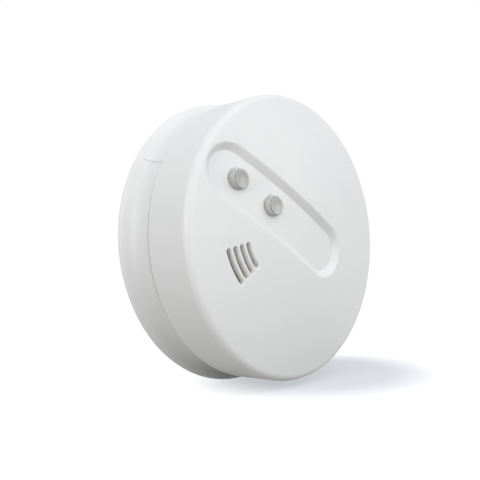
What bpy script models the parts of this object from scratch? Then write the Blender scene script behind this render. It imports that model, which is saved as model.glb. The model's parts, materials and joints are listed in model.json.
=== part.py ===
"""Round battery smoke detector: a twist-off head on a mounting base.

Everything is modelled lying on its back, in metres: x to the right, y up and z out of the wall, with
z = 0 on the wall. The empty wall_frame then stands it up, so that the front faces -Y. The head's pieces are
placed in the layout frame, whose x runs along the sunk recess of the face and whose y runs across it.
"""

import math

import bmesh
import bpy
from mathutils import Matrix

# Mounting base
COVE_RUN = 0.004
LIP_HEIGHT = 0.0024
LIP_ROUND = 0.0009
PLATE_THICKNESS = 0.002
BASE_WALL = 0.0012
COVE_TOP = 0.00945
COVE_RAISE = 0.0004
COVE_RAISE_START = math.radians(60)
COVE_RAISE_END = math.radians(150)
COVE_RAISE_GAP = 0.0006
COVE_RAISE_SWEEP = math.radians(80)
HOLLOW_SWEEP = math.radians(70)
WALL_SCREW_X = 0.026
WALL_SCREW_Y = -0.016
WALL_SLOT_WIDTH = 0.0046
WALL_SLOT_LENGTH = 0.011

# Front cover
SMOKE_PASSAGE = 0.0024
COVER_DRAFT = 0.00025
COVER_WALL = 0.002
DOME_RADIUS = 0.19
EDGE_RADIUS = 0.003
SMOKE_GAP = 0.0045
REAR_EDGE_CHAMFER = 0.0004
BOSS_RADIUS = 0.0032
BOSS_INSET = 0.0049
BOSS_ANGLES = (math.radians(90), math.radians(-3), math.radians(193))

# Sunk recess of the face
RECESS_ANGLE = math.radians(-31.2)
RECESS_EDGE_GAP = 0.01255
RECESS_RIGHT = 0.0101
RECESS_DEPTH = 0.0015
RECESS_FLOOR_HALF = 0.0075
RECESS_RIM_HALF = 0.0099
RECESS_SOFT_HALF = 0.0093
RECESS_SOFT_DEPTH = 0.00027
RECESS_FLARE = 0.003

# Clear caps: the test button and the signal lens
CAP_RADIUS = 0.00315
CAP_RISE = 0.0014
CAP_EDGE = 0.0005
CAP_FLANGE = 0.0011
CAP_FLANGE_HEIGHT = 0.001
CAP_STEM_RADIUS = 0.002
CAP_CLEARANCE = 0.00035
CAP_DISH = 0.0008
LENS_INSET = 0.00375
CAP_SPACING = 0.0161
BUTTON_TRAVEL = 0.0008

# Sound slots: arcs about one centre, which is placed from the sounder's
GRILLE_SHIFT_ALONG = 0.0112
GRILLE_SHIFT_ACROSS = 0.01915
GRILLE_OUTER_RADIUS = 0.02815
GRILLE_PITCH = 0.00257
GRILLE_SLOTS = 4
SLOT_WIDTH = 0.0017
SLOT_START = math.radians(225)
SLOT_END = math.radians(250.5)

# Rear housing
RING_CLEARANCE = 0.0005
RING_WALL = 0.0015
RING_TOP = 0.018
TRAY_RISE = 0.003
TRAY_THICKNESS = 0.0015
POST_RADIUS = 0.0026

# Bayonet
HOOK_INSET = 0.0074
HOOK_NECK = 0.0024
HOOK_HEAD = 0.0052
HOOK_HEAD_HEIGHT = 0.0015
HOOK_HALF_ANGLE = math.radians(3.5)
HOOK_ANGLES = (math.radians(29), math.radians(170), math.radians(289))
TWIST = math.radians(18)
HOOK_CLEARANCE = 0.0004

# Nine volt battery and its contacts
BATTERY_LENGTH = 0.0464
BATTERY_WIDTH = 0.0265
BATTERY_HEIGHT = 0.0175
TERMINAL_HEIGHT = 0.0021
TERMINAL_SPACING = 0.0127
POSITIVE_RADIUS = 0.0029
NEGATIVE_RADIUS = 0.0041
CONTACT_SPACE = 0.0025
CONTACT_WIDTH = 0.007
CONTACT_THICKNESS = 0.0004
POCKET_WALL = 0.0012
BATTERY_LIFT = 0.001
BATTERY_EDGE = 0.0015
CONTACT_TOUCH = 0.002
CONTACT_TAIL = 0.005

# Circuit board and what stands on it
BOARD_HEIGHT = 0.013
BOARD_THICKNESS = 0.0016
BOARD_MARGIN = 0.0022
SWITCH_INSET = 0.006025
SCREW_BESIDE_BUTTON = 0.0099
SCREW_BESIDE_CHAMBER = 0.0155
BOARD_SCREW_INSET = 0.0045
SWITCH_SIZE = 0.006
SWITCH_HEIGHT = 0.004
PLUNGER_RADIUS = 0.0017
PLUNGER_RISE = 0.0013
LED_RADIUS = 0.0025
LED_HEIGHT = 0.0075
LED_FLANGE = 0.0004
LED_FLANGE_HEIGHT = 0.001
CHIP_LENGTH = 0.0099
CHIP_WIDTH = 0.004
CHIP_HEIGHT = 0.0018
CHIP_BESIDE_BUTTON = 0.0109
CHIP_INSET = 0.0105
COIL_RADIUS = 0.004
COIL_HEIGHT = 0.009
COIL_ALONG = -0.003
COIL_INSET = 0.0102
CAPACITOR_RADIUS = 0.0031
CAPACITOR_HEIGHT = 0.0085

# Smoke chamber, its radius a share of the board's width
CHAMBER_SHARE = 0.376
CHAMBER_RIM_GAP = 0.0035
CHAMBER_MARGIN = 0.0025
CHAMBER_FLOOR = 0.0015
CHAMBER_HEIGHT = 0.0176
VANE_COUNT = 14
VANE_LENGTH = 0.0042
VANE_THICKNESS = 0.001
VANE_TURN = math.radians(48)
SCREEN_WALL = 0.0006
SCREEN_WINDOWS = 12
SCREEN_BAR = 0.0018
SENSOR_LENGTH = 0.0085
SENSOR_ANGLES = (math.radians(35), math.radians(165))
HOLDER_LENGTH = 0.007
HOLDER_WALL = 0.0012
HOLDER_GAP = 0.0022

# Sounder, its radius a share of the board's width
SOUNDER_SHARE = 0.2845
SOUNDER_RIM_GAP = 0.0013
SOUNDER_ANGLE = math.radians(227)
SOUNDER_STEP = 0.0035
SOUNDER_WALL = 0.0012
DISC_HEIGHT = 0.0071
DISC_LEDGE = 0.0015
DISC_THICKNESS = 0.0004
CERAMIC_INSET = 0.0035
RESONATOR_HEIGHT = 0.005
RESONATOR_HOLE = 0.004
GASKET_THICKNESS = 0.0008

# Fasteners
SCREW_RADIUS = 0.00125
SCREW_HEAD_RADIUS = 0.0025
SCREW_HEAD_HEIGHT = 0.0016
HOUSING_SCREW_LENGTH = 0.011
BOARD_SCREW_LENGTH = 0.006

# Fits and facets
SEAT = 0.0003
HOLE_CLEARANCE = 0.0004
EMBED = 0.0008
MERGE = 0.00001
SHARP_ANGLE = math.radians(35)
TURN_STEPS = 60
WIDE_STEPS = 32
ROUND_STEPS = 18
SMALL_STEPS = 12

# Board edge and battery pocket, laid out from the recess's axis
BOARD_EDGE = SWITCH_INSET
POCKET_LENGTH = BATTERY_LENGTH + TERMINAL_HEIGHT + CONTACT_SPACE + 2 * SEAT
POCKET_WIDTH = BATTERY_WIDTH + 2 * SEAT
POCKET_HALF = POCKET_LENGTH / 2
POCKET_ACROSS = BOARD_EDGE + 2 * SEAT + POCKET_WALL + POCKET_WIDTH / 2
POCKET_FAR = POCKET_ACROSS + POCKET_WIDTH / 2 + POCKET_WALL

# Round shells, each one a wall and a clearance outside the last: the innermost clears the pocket's corners
RING_INNER = math.hypot(POCKET_HALF + POCKET_WALL, POCKET_FAR) + SEAT
RING_OUTER = RING_INNER + RING_WALL
NECK_RADIUS = RING_OUTER + RING_CLEARANCE
COVE_EDGE = NECK_RADIUS + BASE_WALL
LIP_INNER = COVE_EDGE + COVE_RUN
LIP_RADIUS = LIP_INNER + LIP_ROUND
COVER_RADIUS = RING_OUTER + SMOKE_PASSAGE + COVER_WALL
BOARD_RADIUS = RING_INNER - BOARD_MARGIN
HOOK_RADIUS = RING_INNER - HOOK_INSET
BOSS_CIRCLE = RING_INNER - BOSS_INSET
BOSSES = tuple((BOSS_CIRCLE * math.cos(angle), BOSS_CIRCLE * math.sin(angle)) for angle in BOSS_ANGLES)

# Places along the recess
RECESS_LEFT = RECESS_EDGE_GAP - COVER_RADIUS
LENS_ALONG = RECESS_LEFT + LENS_INSET
BUTTON_ALONG = LENS_ALONG + CAP_SPACING

# Chamber, sounder and screws on the board
CHAMBER_RADIUS = CHAMBER_SHARE * (BOARD_RADIUS + BOARD_EDGE)
SCREEN_INNER = CHAMBER_RADIUS + SEAT
SCREEN_OUTER = SCREEN_INNER + SCREEN_WALL
CHAMBER_ACROSS = BOARD_EDGE - SCREEN_OUTER - CHAMBER_MARGIN
CHAMBER_REACH = RING_INNER - CHAMBER_RIM_GAP
CHAMBER_ALONG = math.sqrt((CHAMBER_REACH - SCREEN_OUTER) ** 2 - CHAMBER_ACROSS ** 2)
SOUNDER_RADIUS = SOUNDER_SHARE * (BOARD_RADIUS + BOARD_EDGE)
SOUNDER_HEIGHT = CHAMBER_HEIGHT - SOUNDER_STEP
SOUNDER_CIRCLE = RING_INNER - SOUNDER_RADIUS - SOUNDER_RIM_GAP
SOUNDER_ALONG = SOUNDER_CIRCLE * math.cos(SOUNDER_ANGLE)
SOUNDER_ACROSS = SOUNDER_CIRCLE * math.sin(SOUNDER_ANGLE)
GRILLE_ALONG = SOUNDER_ALONG + GRILLE_SHIFT_ALONG
GRILLE_ACROSS = SOUNDER_ACROSS + GRILLE_SHIFT_ACROSS
SCREW_HOLE = SCREW_RADIUS + HOLE_CLEARANCE
BOARD_SCREWS = (
    (CHAMBER_ALONG + SCREW_BESIDE_CHAMBER, BOARD_EDGE - BOARD_SCREW_INSET),
    (BUTTON_ALONG + SCREW_BESIDE_BUTTON, BOARD_EDGE - BOARD_SCREW_INSET),
    (BUTTON_ALONG + SCREW_BESIDE_BUTTON, BOARD_SCREW_INSET - BOARD_RADIUS),
)

# Heights above the wall: the cover's face just clears the chamber's far rim
COVER_REAR = COVE_TOP + SMOKE_GAP
RING_BOTTOM = PLATE_THICKNESS + SEAT
TRAY_BOTTOM = RING_BOTTOM + TRAY_RISE
TRAY_TOP = TRAY_BOTTOM + TRAY_THICKNESS
BOARD_TOP = BOARD_HEIGHT + BOARD_THICKNESS
DECK = BOARD_TOP + SEAT
BATTERY_BOTTOM = PLATE_THICKNESS + BATTERY_LIFT
BATTERY_TOP = BATTERY_BOTTOM + BATTERY_HEIGHT
POCKET_TOP = BATTERY_TOP + SEAT
DOME_DROP = DOME_RADIUS - math.sqrt(DOME_RADIUS ** 2 - CHAMBER_REACH ** 2)
COVER_DEPTH = DECK + CHAMBER_HEIGHT + SEAT + COVER_WALL + DOME_DROP

# Colours, roughness and metallic value of each material
WHITE_PLASTIC = ((0.80, 0.81, 0.80), 0.42, 0.0)
TRAY_PLASTIC = ((0.74, 0.75, 0.74), 0.5, 0.0)
CLEAR_PLASTIC = ((0.62, 0.63, 0.61), 0.15, 0.0)
BLACK_PLASTIC = ((0.015, 0.015, 0.016), 0.45, 0.0)
BOARD_GREEN = ((0.02, 0.16, 0.07), 0.4, 0.0)
STEEL = ((0.56, 0.57, 0.58), 0.35, 1.0)
BRASS = ((0.73, 0.55, 0.24), 0.35, 1.0)
CERAMIC_GREY = ((0.62, 0.60, 0.56), 0.6, 0.0)
RUBBER_GREY = ((0.05, 0.05, 0.05), 0.8, 0.0)
LED_RED = ((0.62, 0.03, 0.03), 0.2, 0.0)
SENSOR_BLUE = ((0.10, 0.12, 0.22), 0.2, 0.0)
SENSOR_BLACK = ((0.02, 0.015, 0.03), 0.2, 0.0)
BATTERY_CASE = ((0.09, 0.10, 0.12), 0.45, 0.0)
FERRITE = ((0.06, 0.055, 0.05), 0.6, 0.0)
CAPACITOR_SLEEVE = ((0.03, 0.04, 0.09), 0.4, 0.0)


def clear_scene():
    for obj in list(bpy.data.objects):
        bpy.data.objects.remove(obj, do_unlink=True)


def collection(name):
    group = bpy.data.collections.new(name)
    bpy.context.scene.collection.children.link(group)
    return group


def empty(name, parent=None, rotation=(0, 0, 0)):
    obj = bpy.data.objects.new(name, None)
    PARTS.objects.link(obj)
    obj.parent = parent
    obj.rotation_euler = rotation
    obj.empty_display_size = LIP_RADIUS
    return obj


def material(name, look):
    colour, roughness, metallic = look
    mat = bpy.data.materials.new(name)
    mat.use_nodes = True
    shader = mat.node_tree.nodes["Principled BSDF"]
    shader.inputs["Base Color"].default_value = (*colour, 1)
    shader.inputs["Roughness"].default_value = roughness
    shader.inputs["Metallic"].default_value = metallic
    mat.diffuse_color = (*colour, 1)
    return mat


def part(obj, look, parent, location=(0, 0, 0), rotation=(0, 0, 0)):
    """Link a finished piece under its parent, with a material of its own."""
    PARTS.objects.link(obj)
    obj.parent = parent
    obj.location = location
    obj.rotation_euler = rotation
    obj.data.materials.append(material(obj.name + "_material", look))
    return obj


def combine(obj, tool, operation, parent):
    """Join, cut or keep with a second solid that stays hidden."""
    CUTTERS.objects.link(tool)
    tool.parent = parent
    tool.hide_render = True
    tool.display_type = 'WIRE'
    boolean = obj.modifiers.new(tool.name, 'BOOLEAN')
    boolean.operation = operation
    boolean.object = tool
    boolean.solver = 'EXACT'


def solid(name, bm):
    """Object from a bmesh, shaded smooth with its hard edges kept."""
    bmesh.ops.recalc_face_normals(bm, faces=bm.faces)
    mesh = bpy.data.meshes.new(name)
    bm.to_mesh(mesh)
    bm.free()
    mesh.shade_smooth()
    mesh.set_sharp_from_angle(angle=SHARP_ANGLE)
    return bpy.data.objects.new(name, mesh)


def cylinder(name, radius, bottom, top, centre=(0, 0), top_radius=None, steps=ROUND_STEPS):
    bm = bmesh.new()
    place = Matrix.Translation((*centre, (bottom + top) / 2))
    bmesh.ops.create_cone(bm, cap_ends=True, segments=steps, radius1=radius,
                          radius2=radius if top_radius is None else top_radius,
                          depth=top - bottom, matrix=place)
    return solid(name, bm)


def add_block(bm, size, centre, turn=0.0, orbit=0.0):
    """Box of the given size at a centre, turned about itself and then about z through the origin."""
    place = Matrix.Rotation(orbit, 4, 'Z') @ Matrix.Translation(centre) @ Matrix.Rotation(turn, 4, 'Z')
    bmesh.ops.create_cube(bm, size=1, matrix=place @ Matrix.Diagonal((*size, 1)))


def block(name, size, centre):
    bm = bmesh.new()
    add_block(bm, size, centre)
    return solid(name, bm)


def turned(name, profile, steps=TURN_STEPS, closed=False):
    """Solid of revolution about z from (radius, height) points that run down the outer side."""
    mesh = bpy.data.meshes.new(name)
    edges = [(i, i + 1) for i in range(len(profile) - 1)]
    if closed:
        edges.append((len(profile) - 1, 0))
    mesh.from_pydata([(r, 0, z) for r, z in profile], edges, [])
    obj = bpy.data.objects.new(name, mesh)
    screw = obj.modifiers.new("turn", 'SCREW')
    screw.steps = steps
    screw.render_steps = steps
    screw.use_merge_vertices = True
    screw.merge_threshold = MERGE
    return obj


def evaluated_mesh(obj):
    """Mesh of an object with its modifiers applied, welded into closed surfaces. The object is removed."""
    bpy.context.scene.collection.objects.link(obj)
    depsgraph = bpy.context.evaluated_depsgraph_get()
    mesh = bpy.data.meshes.new_from_object(obj.evaluated_get(depsgraph))
    bpy.data.objects.remove(obj, do_unlink=True)
    bm = bmesh.new()
    bm.from_mesh(mesh)
    bpy.data.meshes.remove(mesh)
    bmesh.ops.remove_doubles(bm, verts=bm.verts, dist=MERGE)
    return bm


def plate(name, outline, bottom, top):
    """Flat outline of (x, y) points, given thickness from bottom to top."""
    curve = bpy.data.curves.new(name, 'CURVE')
    curve.dimensions = '2D'
    curve.fill_mode = 'BOTH'
    curve.extrude = (top - bottom) / 2
    spline = curve.splines.new('POLY')
    spline.points.add(len(outline) - 1)
    for point, (x, y) in zip(spline.points, outline):
        point.co = (x, y, 0, 1)
    spline.use_cyclic_u = True
    bm = evaluated_mesh(bpy.data.objects.new(name, curve))
    bmesh.ops.translate(bm, verts=bm.verts, vec=(0, 0, (top + bottom) / 2))
    return solid(name, bm)


def tube(name, inner, outer, bottom, top, centre):
    """Straight round tube about an axis beside the detector's own."""
    section = [(outer, top), (outer, bottom), (inner, bottom), (inner, top)]
    bm = evaluated_mesh(turned(name, section, ROUND_STEPS, closed=True))
    bmesh.ops.translate(bm, verts=bm.verts, vec=(*centre, 0))
    return solid(name, bm)


def arc(centre_x, centre_y, radius, start, end, count):
    """Points from one angle to another about a centre, both ends included."""
    return [(centre_x + radius * math.cos(start + (end - start) * i / count),
             centre_y + radius * math.sin(start + (end - start) * i / count)) for i in range(count + 1)]


def slot_outline(radius, width, start, end, centre):
    """Outline of a curved slot with round ends."""
    half = width / 2
    first = (centre[0] + radius * math.cos(start), centre[1] + radius * math.sin(start))
    last = (centre[0] + radius * math.cos(end), centre[1] + radius * math.sin(end))
    outline = arc(*centre, radius + half, start, end, 6)
    outline += arc(*last, half, end, end + math.pi, 4)[1:-1]
    outline += arc(*centre, radius - half, end, start, 6)
    return outline + arc(*first, half, start + math.pi, start + 2 * math.pi, 4)[1:-1]


def ring_sector(inner, outer, start, end, centre=(0, 0), count=8):
    """Outline of a piece of a flat ring."""
    return arc(*centre, outer, start, end, count) + arc(*centre, inner, end, start, count)


def strip(path, thickness):
    """Outline of a thin bent strip that follows a path of points."""
    left = []
    right = []
    for i, (x, y) in enumerate(path):
        before = path[max(i - 1, 0)]
        after = path[min(i + 1, len(path) - 1)]
        along_x = after[0] - before[0]
        along_y = after[1] - before[1]
        half = thickness / 2 / math.hypot(along_x, along_y)
        left.append((x - along_y * half, y + along_x * half))
        right.append((x + along_y * half, y - along_x * half))
    return left + right[::-1]


def face_height(radius):
    """Height of the domed face at a distance from its axis."""
    return COVER_DEPTH - DOME_RADIUS + math.sqrt(DOME_RADIUS ** 2 - radius ** 2)


def recess_floor(radius):
    return face_height(radius) - RECESS_DEPTH


def recess_sweep(name, profile, end_steps=10, side_steps=6):
    """Solid swept round the recess's centre line and draped over the dome.

    Each profile point is a distance from the centre line and a height above the face.
    """
    stations = [(RECESS_RIGHT, math.pi * (i / end_steps - 0.5)) for i in range(end_steps + 1)]
    span = RECESS_RIGHT - RECESS_LEFT
    inner = [i / side_steps for i in range(1, side_steps)]
    stations += [(RECESS_RIGHT - span * share, math.pi / 2) for share in inner]
    stations += [(RECESS_LEFT, math.pi * (i / end_steps + 0.5)) for i in range(end_steps + 1)]
    stations += [(RECESS_LEFT + span * share, -math.pi / 2) for share in inner]
    bm = bmesh.new()
    rings = []
    for offset, height in profile:
        ring = []
        for along, angle in stations:
            x = along + offset * math.cos(angle)
            y = offset * math.sin(angle)
            ring.append(bm.verts.new((x, y, face_height(math.hypot(x, y)) + height)))
        rings.append(ring)
    count = len(stations)
    for upper, lower in zip(rings, rings[1:]):
        for i in range(count):
            following = (i + 1) % count
            bm.faces.new((upper[i], upper[following], lower[following], lower[i]))
    bmesh.ops.remove_doubles(bm, verts=bm.verts, dist=MERGE)
    return solid(name, bm)


def under_cover(obj):
    """Raise the top of a solid into the cover's wall, all round."""
    level = (COVER_REAR + COVER_DEPTH) / 2
    for vertex in obj.data.vertices:
        if vertex.co.z > level:
            vertex.co.z = face_height(math.hypot(vertex.co.x, vertex.co.y)) - EMBED
    return obj


def cove(offset, start, end, count):
    """Points of the base's hollow flank, moved outward by an offset, from its top edge to the lip."""
    drop = COVE_TOP - LIP_HEIGHT
    points = []
    for i in range(count + 1):
        angle = start + (end - start) * i / count
        radius = COVE_EDGE + COVE_RUN * (1 - math.cos(angle)) + offset * math.cos(angle)
        points.append((radius, COVE_TOP - drop * math.sin(angle) + offset * math.sin(angle)))
    return points


def mounting_base():
    profile = [(0, PLATE_THICKNESS), (NECK_RADIUS, PLATE_THICKNESS), (NECK_RADIUS, COVE_TOP)]
    profile += cove(0, 0, math.pi / 2, 6)[:-1]
    lip = arc(0, 0, 1, math.pi / 2, -math.pi / 2, 4)
    profile += [(LIP_INNER + LIP_ROUND * x, LIP_HEIGHT / 2 * (1 + y)) for x, y in lip]
    hollow_start = math.acos((COVE_RUN - SEAT) / (COVE_RUN + BASE_WALL))
    hollow = cove(-BASE_WALL, hollow_start, HOLLOW_SWEEP, 1)
    profile += [(LIP_INNER - BASE_WALL, 0)] + hollow[::-1]
    profile += [(COVE_EDGE, hollow[0][1]), (COVE_EDGE, 0), (0, 0)]
    obj = turned("mounting_base", profile)

    raised = cove(COVE_RAISE, 0, COVE_RAISE_SWEEP, 5)
    buried = cove(-BASE_WALL / 2, 0, COVE_RAISE_SWEEP, 5)
    crest = COVER_REAR - COVE_RAISE_GAP
    section = [(NECK_RADIUS + BASE_WALL / 2, crest), (raised[0][0], crest)] + raised + buried[::-1]
    bm = bmesh.new()
    along = math.cos(COVE_RAISE_START)
    across = math.sin(COVE_RAISE_START)
    face = bm.faces.new([bm.verts.new((r * along, r * across, z)) for r, z in section])
    bmesh.ops.spin(bm, geom=[face], cent=(0, 0, 0), axis=(0, 0, 1), steps=TURN_STEPS // 4,
                   angle=COVE_RAISE_END - COVE_RAISE_START)
    bmesh.ops.holes_fill(bm, edges=[edge for edge in bm.edges if edge.is_boundary])
    combine(obj, solid("raised_cove", bm), 'UNION', STAND)

    for i, angle in enumerate(HOOK_ANGLES):
        start = angle + RECESS_ANGLE - HOOK_HALF_ANGLE
        end = angle + RECESS_ANGLE + HOOK_HALF_ANGLE
        head_bottom = TRAY_TOP + SEAT
        head_top = head_bottom + HOOK_HEAD_HEIGHT
        inside_head = (head_bottom + head_top) / 2
        neck = ring_sector(HOOK_RADIUS - HOOK_NECK / 2, HOOK_RADIUS + HOOK_NECK / 2,
                           start + HOOK_HALF_ANGLE / 8, end - HOOK_HALF_ANGLE / 8, count=3)
        head = ring_sector(HOOK_RADIUS - HOOK_HEAD / 2, HOOK_RADIUS + HOOK_HEAD / 2, start, end, count=3)
        combine(obj, plate(f"hook_neck_{i + 1}", neck, PLATE_THICKNESS / 2, inside_head), 'UNION', STAND)
        combine(obj, plate(f"hook_head_{i + 1}", head, head_bottom, head_top), 'UNION', STAND)

    half = (WALL_SLOT_LENGTH - WALL_SLOT_WIDTH) / 2
    for side in (1, -1):
        x = side * WALL_SCREW_X
        y = side * WALL_SCREW_Y
        outline = arc(x + half, y, WALL_SLOT_WIDTH / 2, -math.pi / 2, math.pi / 2, 6)
        outline += arc(x - half, y, WALL_SLOT_WIDTH / 2, math.pi / 2, 3 * math.pi / 2, 6)
        slot = plate(f"wall_slot_{side}", outline, -PLATE_THICKNESS, 2 * PLATE_THICKNESS)
        combine(obj, slot, 'DIFFERENCE', STAND)
    part(obj, WHITE_PLASTIC, STAND)


def cover_profile():
    """Section of the cover's shell, from the apex down the outside and up the inside."""
    edge_centre_r = COVER_RADIUS - COVER_DRAFT - EDGE_RADIUS
    dome_centre = COVER_DEPTH - DOME_RADIUS
    edge_centre_z = dome_centre + math.sqrt((DOME_RADIUS - EDGE_RADIUS) ** 2 - edge_centre_r ** 2)
    meet = math.atan2(edge_centre_z - dome_centre, edge_centre_r)
    outside = arc(0, dome_centre, DOME_RADIUS, math.pi / 2, meet, 5)
    outside += arc(edge_centre_r, edge_centre_z, EDGE_RADIUS, meet, 0, 6)[1:]
    chamfer_top = COVER_REAR + REAR_EDGE_CHAMFER
    outside += [(COVER_RADIUS, chamfer_top), (COVER_RADIUS - REAR_EDGE_CHAMFER, COVER_REAR)]
    inside = arc(edge_centre_r, edge_centre_z, EDGE_RADIUS - COVER_WALL, 0, meet, 3)
    inside += arc(0, dome_centre, DOME_RADIUS - COVER_WALL, meet, math.pi / 2, 4)[1:]
    outside[0] = (0, COVER_DEPTH)
    inside[-1] = (0, COVER_DEPTH - COVER_WALL)
    return outside + [(COVER_RADIUS - COVER_WALL, COVER_REAR)] + inside


def front_cover():
    obj = turned("front_cover", cover_profile())

    pad_half = RECESS_FLOOR_HALF + COVER_WALL * 0.75
    pad_top = -COVER_WALL / 2
    pad_bottom = -RECESS_DEPTH - COVER_WALL
    pad = [(0, pad_top), (pad_half, pad_top), (pad_half, pad_bottom), (0, pad_bottom)]
    combine(obj, recess_sweep("recess_pad", pad), 'UNION', LAYOUT)

    boss_foot = TRAY_TOP + SEAT
    for i, centre in enumerate(BOSSES):
        boss = cylinder(f"boss_{i + 1}", BOSS_RADIUS, boss_foot, COVER_DEPTH, centre, steps=SMALL_STEPS)
        combine(obj, under_cover(boss), 'UNION', LAYOUT)
    collar_bottom = DECK + SOUNDER_HEIGHT + GASKET_THICKNESS + 2 * SEAT
    collar = tube("sounder_collar", SOUNDER_RADIUS - SOUNDER_WALL, SOUNDER_RADIUS, collar_bottom,
                  COVER_DEPTH, (SOUNDER_ALONG, SOUNDER_ACROSS))
    combine(obj, under_cover(collar), 'UNION', LAYOUT)

    recess = [(0, RECESS_FLARE), (RECESS_RIM_HALF + RECESS_FLARE, RECESS_FLARE), (RECESS_RIM_HALF, 0),
              (RECESS_SOFT_HALF, -RECESS_SOFT_DEPTH), (RECESS_FLOOR_HALF, -RECESS_DEPTH), (0, -RECESS_DEPTH)]
    combine(obj, recess_sweep("recess_cut", recess), 'DIFFERENCE', LAYOUT)

    hole = CAP_RADIUS + CAP_CLEARANCE
    for name, along in (("lens_hole", LENS_ALONG), ("button_hole", BUTTON_ALONG)):
        floor = recess_floor(abs(along))
        dish = cylinder(name + "_dish", hole, floor - CAP_DISH / 2, floor + CAP_DISH / 2, (along, 0),
                        top_radius=hole + 2 * CAP_DISH)
        combine(obj, cylinder(name, hole, COVER_REAR, COVER_DEPTH * 1.2, (along, 0)), 'DIFFERENCE', LAYOUT)
        combine(obj, dish, 'DIFFERENCE', LAYOUT)

    for i in range(GRILLE_SLOTS):
        middle = GRILLE_OUTER_RADIUS - i * GRILLE_PITCH
        end_turn = SLOT_WIDTH / 2 / middle
        slot = slot_outline(middle, SLOT_WIDTH, SLOT_START + end_turn, SLOT_END - end_turn,
                            (GRILLE_ALONG, GRILLE_ACROSS))
        cutter = plate(f"sound_slot_{i + 1}", slot, COVER_REAR * 2, COVER_DEPTH * 1.2)
        combine(obj, cutter, 'DIFFERENCE', LAYOUT)
    for i, centre in enumerate(BOSSES):
        depth = TRAY_TOP + HOUSING_SCREW_LENGTH
        pilot = cylinder(f"boss_pilot_{i + 1}", SCREW_HOLE, 0, depth, centre, steps=SMALL_STEPS)
        combine(obj, pilot, 'DIFFERENCE', LAYOUT)
    part(obj, WHITE_PLASTIC, LAYOUT)


def cap_profile(along, stem_bottom):
    """Section of a clear cap: rounded head, retaining flange below the cover, stem down to the board."""
    top = recess_floor(abs(along)) + CAP_RISE
    flange_radius = CAP_RADIUS + CAP_CLEARANCE + CAP_FLANGE
    flange_top = recess_floor(abs(along) + flange_radius) - COVER_WALL - SEAT
    flange_bottom = flange_top - CAP_FLANGE_HEIGHT
    edge = arc(CAP_RADIUS - CAP_EDGE, top - CAP_EDGE, CAP_EDGE, math.pi / 2, 0, 2)
    return [(0, top)] + edge + [(CAP_RADIUS, flange_top), (flange_radius, flange_top),
                                (flange_radius, flange_bottom), (CAP_STEM_RADIUS, flange_bottom),
                                (CAP_STEM_RADIUS, stem_bottom), (0, stem_bottom)]


def clear_caps():
    switch_top = DECK + SWITCH_HEIGHT + PLUNGER_RISE + SEAT
    led_top = DECK + LED_HEIGHT + SEAT
    button = turned("test_button", cap_profile(BUTTON_ALONG, switch_top), ROUND_STEPS)
    part(button, CLEAR_PLASTIC, LAYOUT, (BUTTON_ALONG, 0, 0))
    lens = turned("signal_lens", cap_profile(LENS_ALONG, led_top), ROUND_STEPS)
    part(lens, CLEAR_PLASTIC, LAYOUT, (LENS_ALONG, 0, 0))


def rear_housing():
    ring = [(RING_INNER, RING_TOP), (RING_OUTER, RING_TOP), (RING_OUTER, RING_BOTTOM),
            (RING_INNER, RING_BOTTOM)]
    profile = [(0, TRAY_TOP), (RING_INNER, TRAY_TOP)] + ring + [(RING_INNER, TRAY_BOTTOM), (0, TRAY_BOTTOM)]
    obj = turned("rear_housing", profile)

    pocket_outer = (POCKET_LENGTH + 2 * POCKET_WALL, POCKET_WIDTH + 2 * POCKET_WALL,
                    POCKET_TOP + POCKET_WALL - TRAY_BOTTOM)
    middle = (POCKET_TOP + POCKET_WALL + TRAY_BOTTOM) / 2
    combine(obj, block("pocket_walls", pocket_outer, (0, POCKET_ACROSS, middle)), 'UNION', LAYOUT)
    for i, centre in enumerate(BOARD_SCREWS):
        foot = TRAY_BOTTOM + TRAY_THICKNESS / 2
        post = cylinder(f"post_{i + 1}", POST_RADIUS, foot, BOARD_HEIGHT - SEAT, centre, steps=SMALL_STEPS)
        combine(obj, post, 'UNION', LAYOUT)
        pilot = cylinder(f"post_pilot_{i + 1}", SCREW_HOLE, TRAY_TOP, BOARD_TOP, centre, steps=SMALL_STEPS)
        combine(obj, pilot, 'DIFFERENCE', LAYOUT)
    pocket = block("pocket", (POCKET_LENGTH, POCKET_WIDTH, 2 * POCKET_TOP), (0, POCKET_ACROSS, 0))
    combine(obj, pocket, 'DIFFERENCE', LAYOUT)

    margin = HOOK_CLEARANCE / HOOK_RADIUS
    narrow = HOOK_NECK / 2 + HOOK_CLEARANCE
    wide = HOOK_HEAD / 2 + HOOK_CLEARANCE
    reach = HOOK_HALF_ANGLE + margin
    below = TRAY_BOTTOM - TRAY_THICKNESS
    above = TRAY_TOP + TRAY_THICKNESS
    for i, angle in enumerate(HOOK_ANGLES):
        free = angle - TWIST
        channel = ring_sector(HOOK_RADIUS - narrow, HOOK_RADIUS + narrow, free - reach, angle + reach,
                              count=6)
        window = ring_sector(HOOK_RADIUS - wide, HOOK_RADIUS + wide, free - reach - margin, free + reach,
                             count=3)
        combine(obj, plate(f"hook_channel_{i + 1}", channel, below, above), 'DIFFERENCE', LAYOUT)
        combine(obj, plate(f"hook_window_{i + 1}", window, below, above), 'DIFFERENCE', LAYOUT)
    for i, centre in enumerate(BOSSES):
        hole = cylinder(f"tray_hole_{i + 1}", SCREW_HOLE, below, above, centre, steps=SMALL_STEPS)
        combine(obj, hole, 'DIFFERENCE', LAYOUT)
    part(obj, TRAY_PLASTIC, LAYOUT)


def screw_profile(length):
    """Pan-head screw along z, its seat at z = 0 and its shank pointing down."""
    head = SCREW_HEAD_HEIGHT
    return [(0, head), (SCREW_HEAD_RADIUS * 0.7, head), (SCREW_HEAD_RADIUS, head * 0.6),
            (SCREW_HEAD_RADIUS, 0), (SCREW_RADIUS, 0), (SCREW_RADIUS, SCREW_RADIUS - length), (0, -length)]


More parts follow.
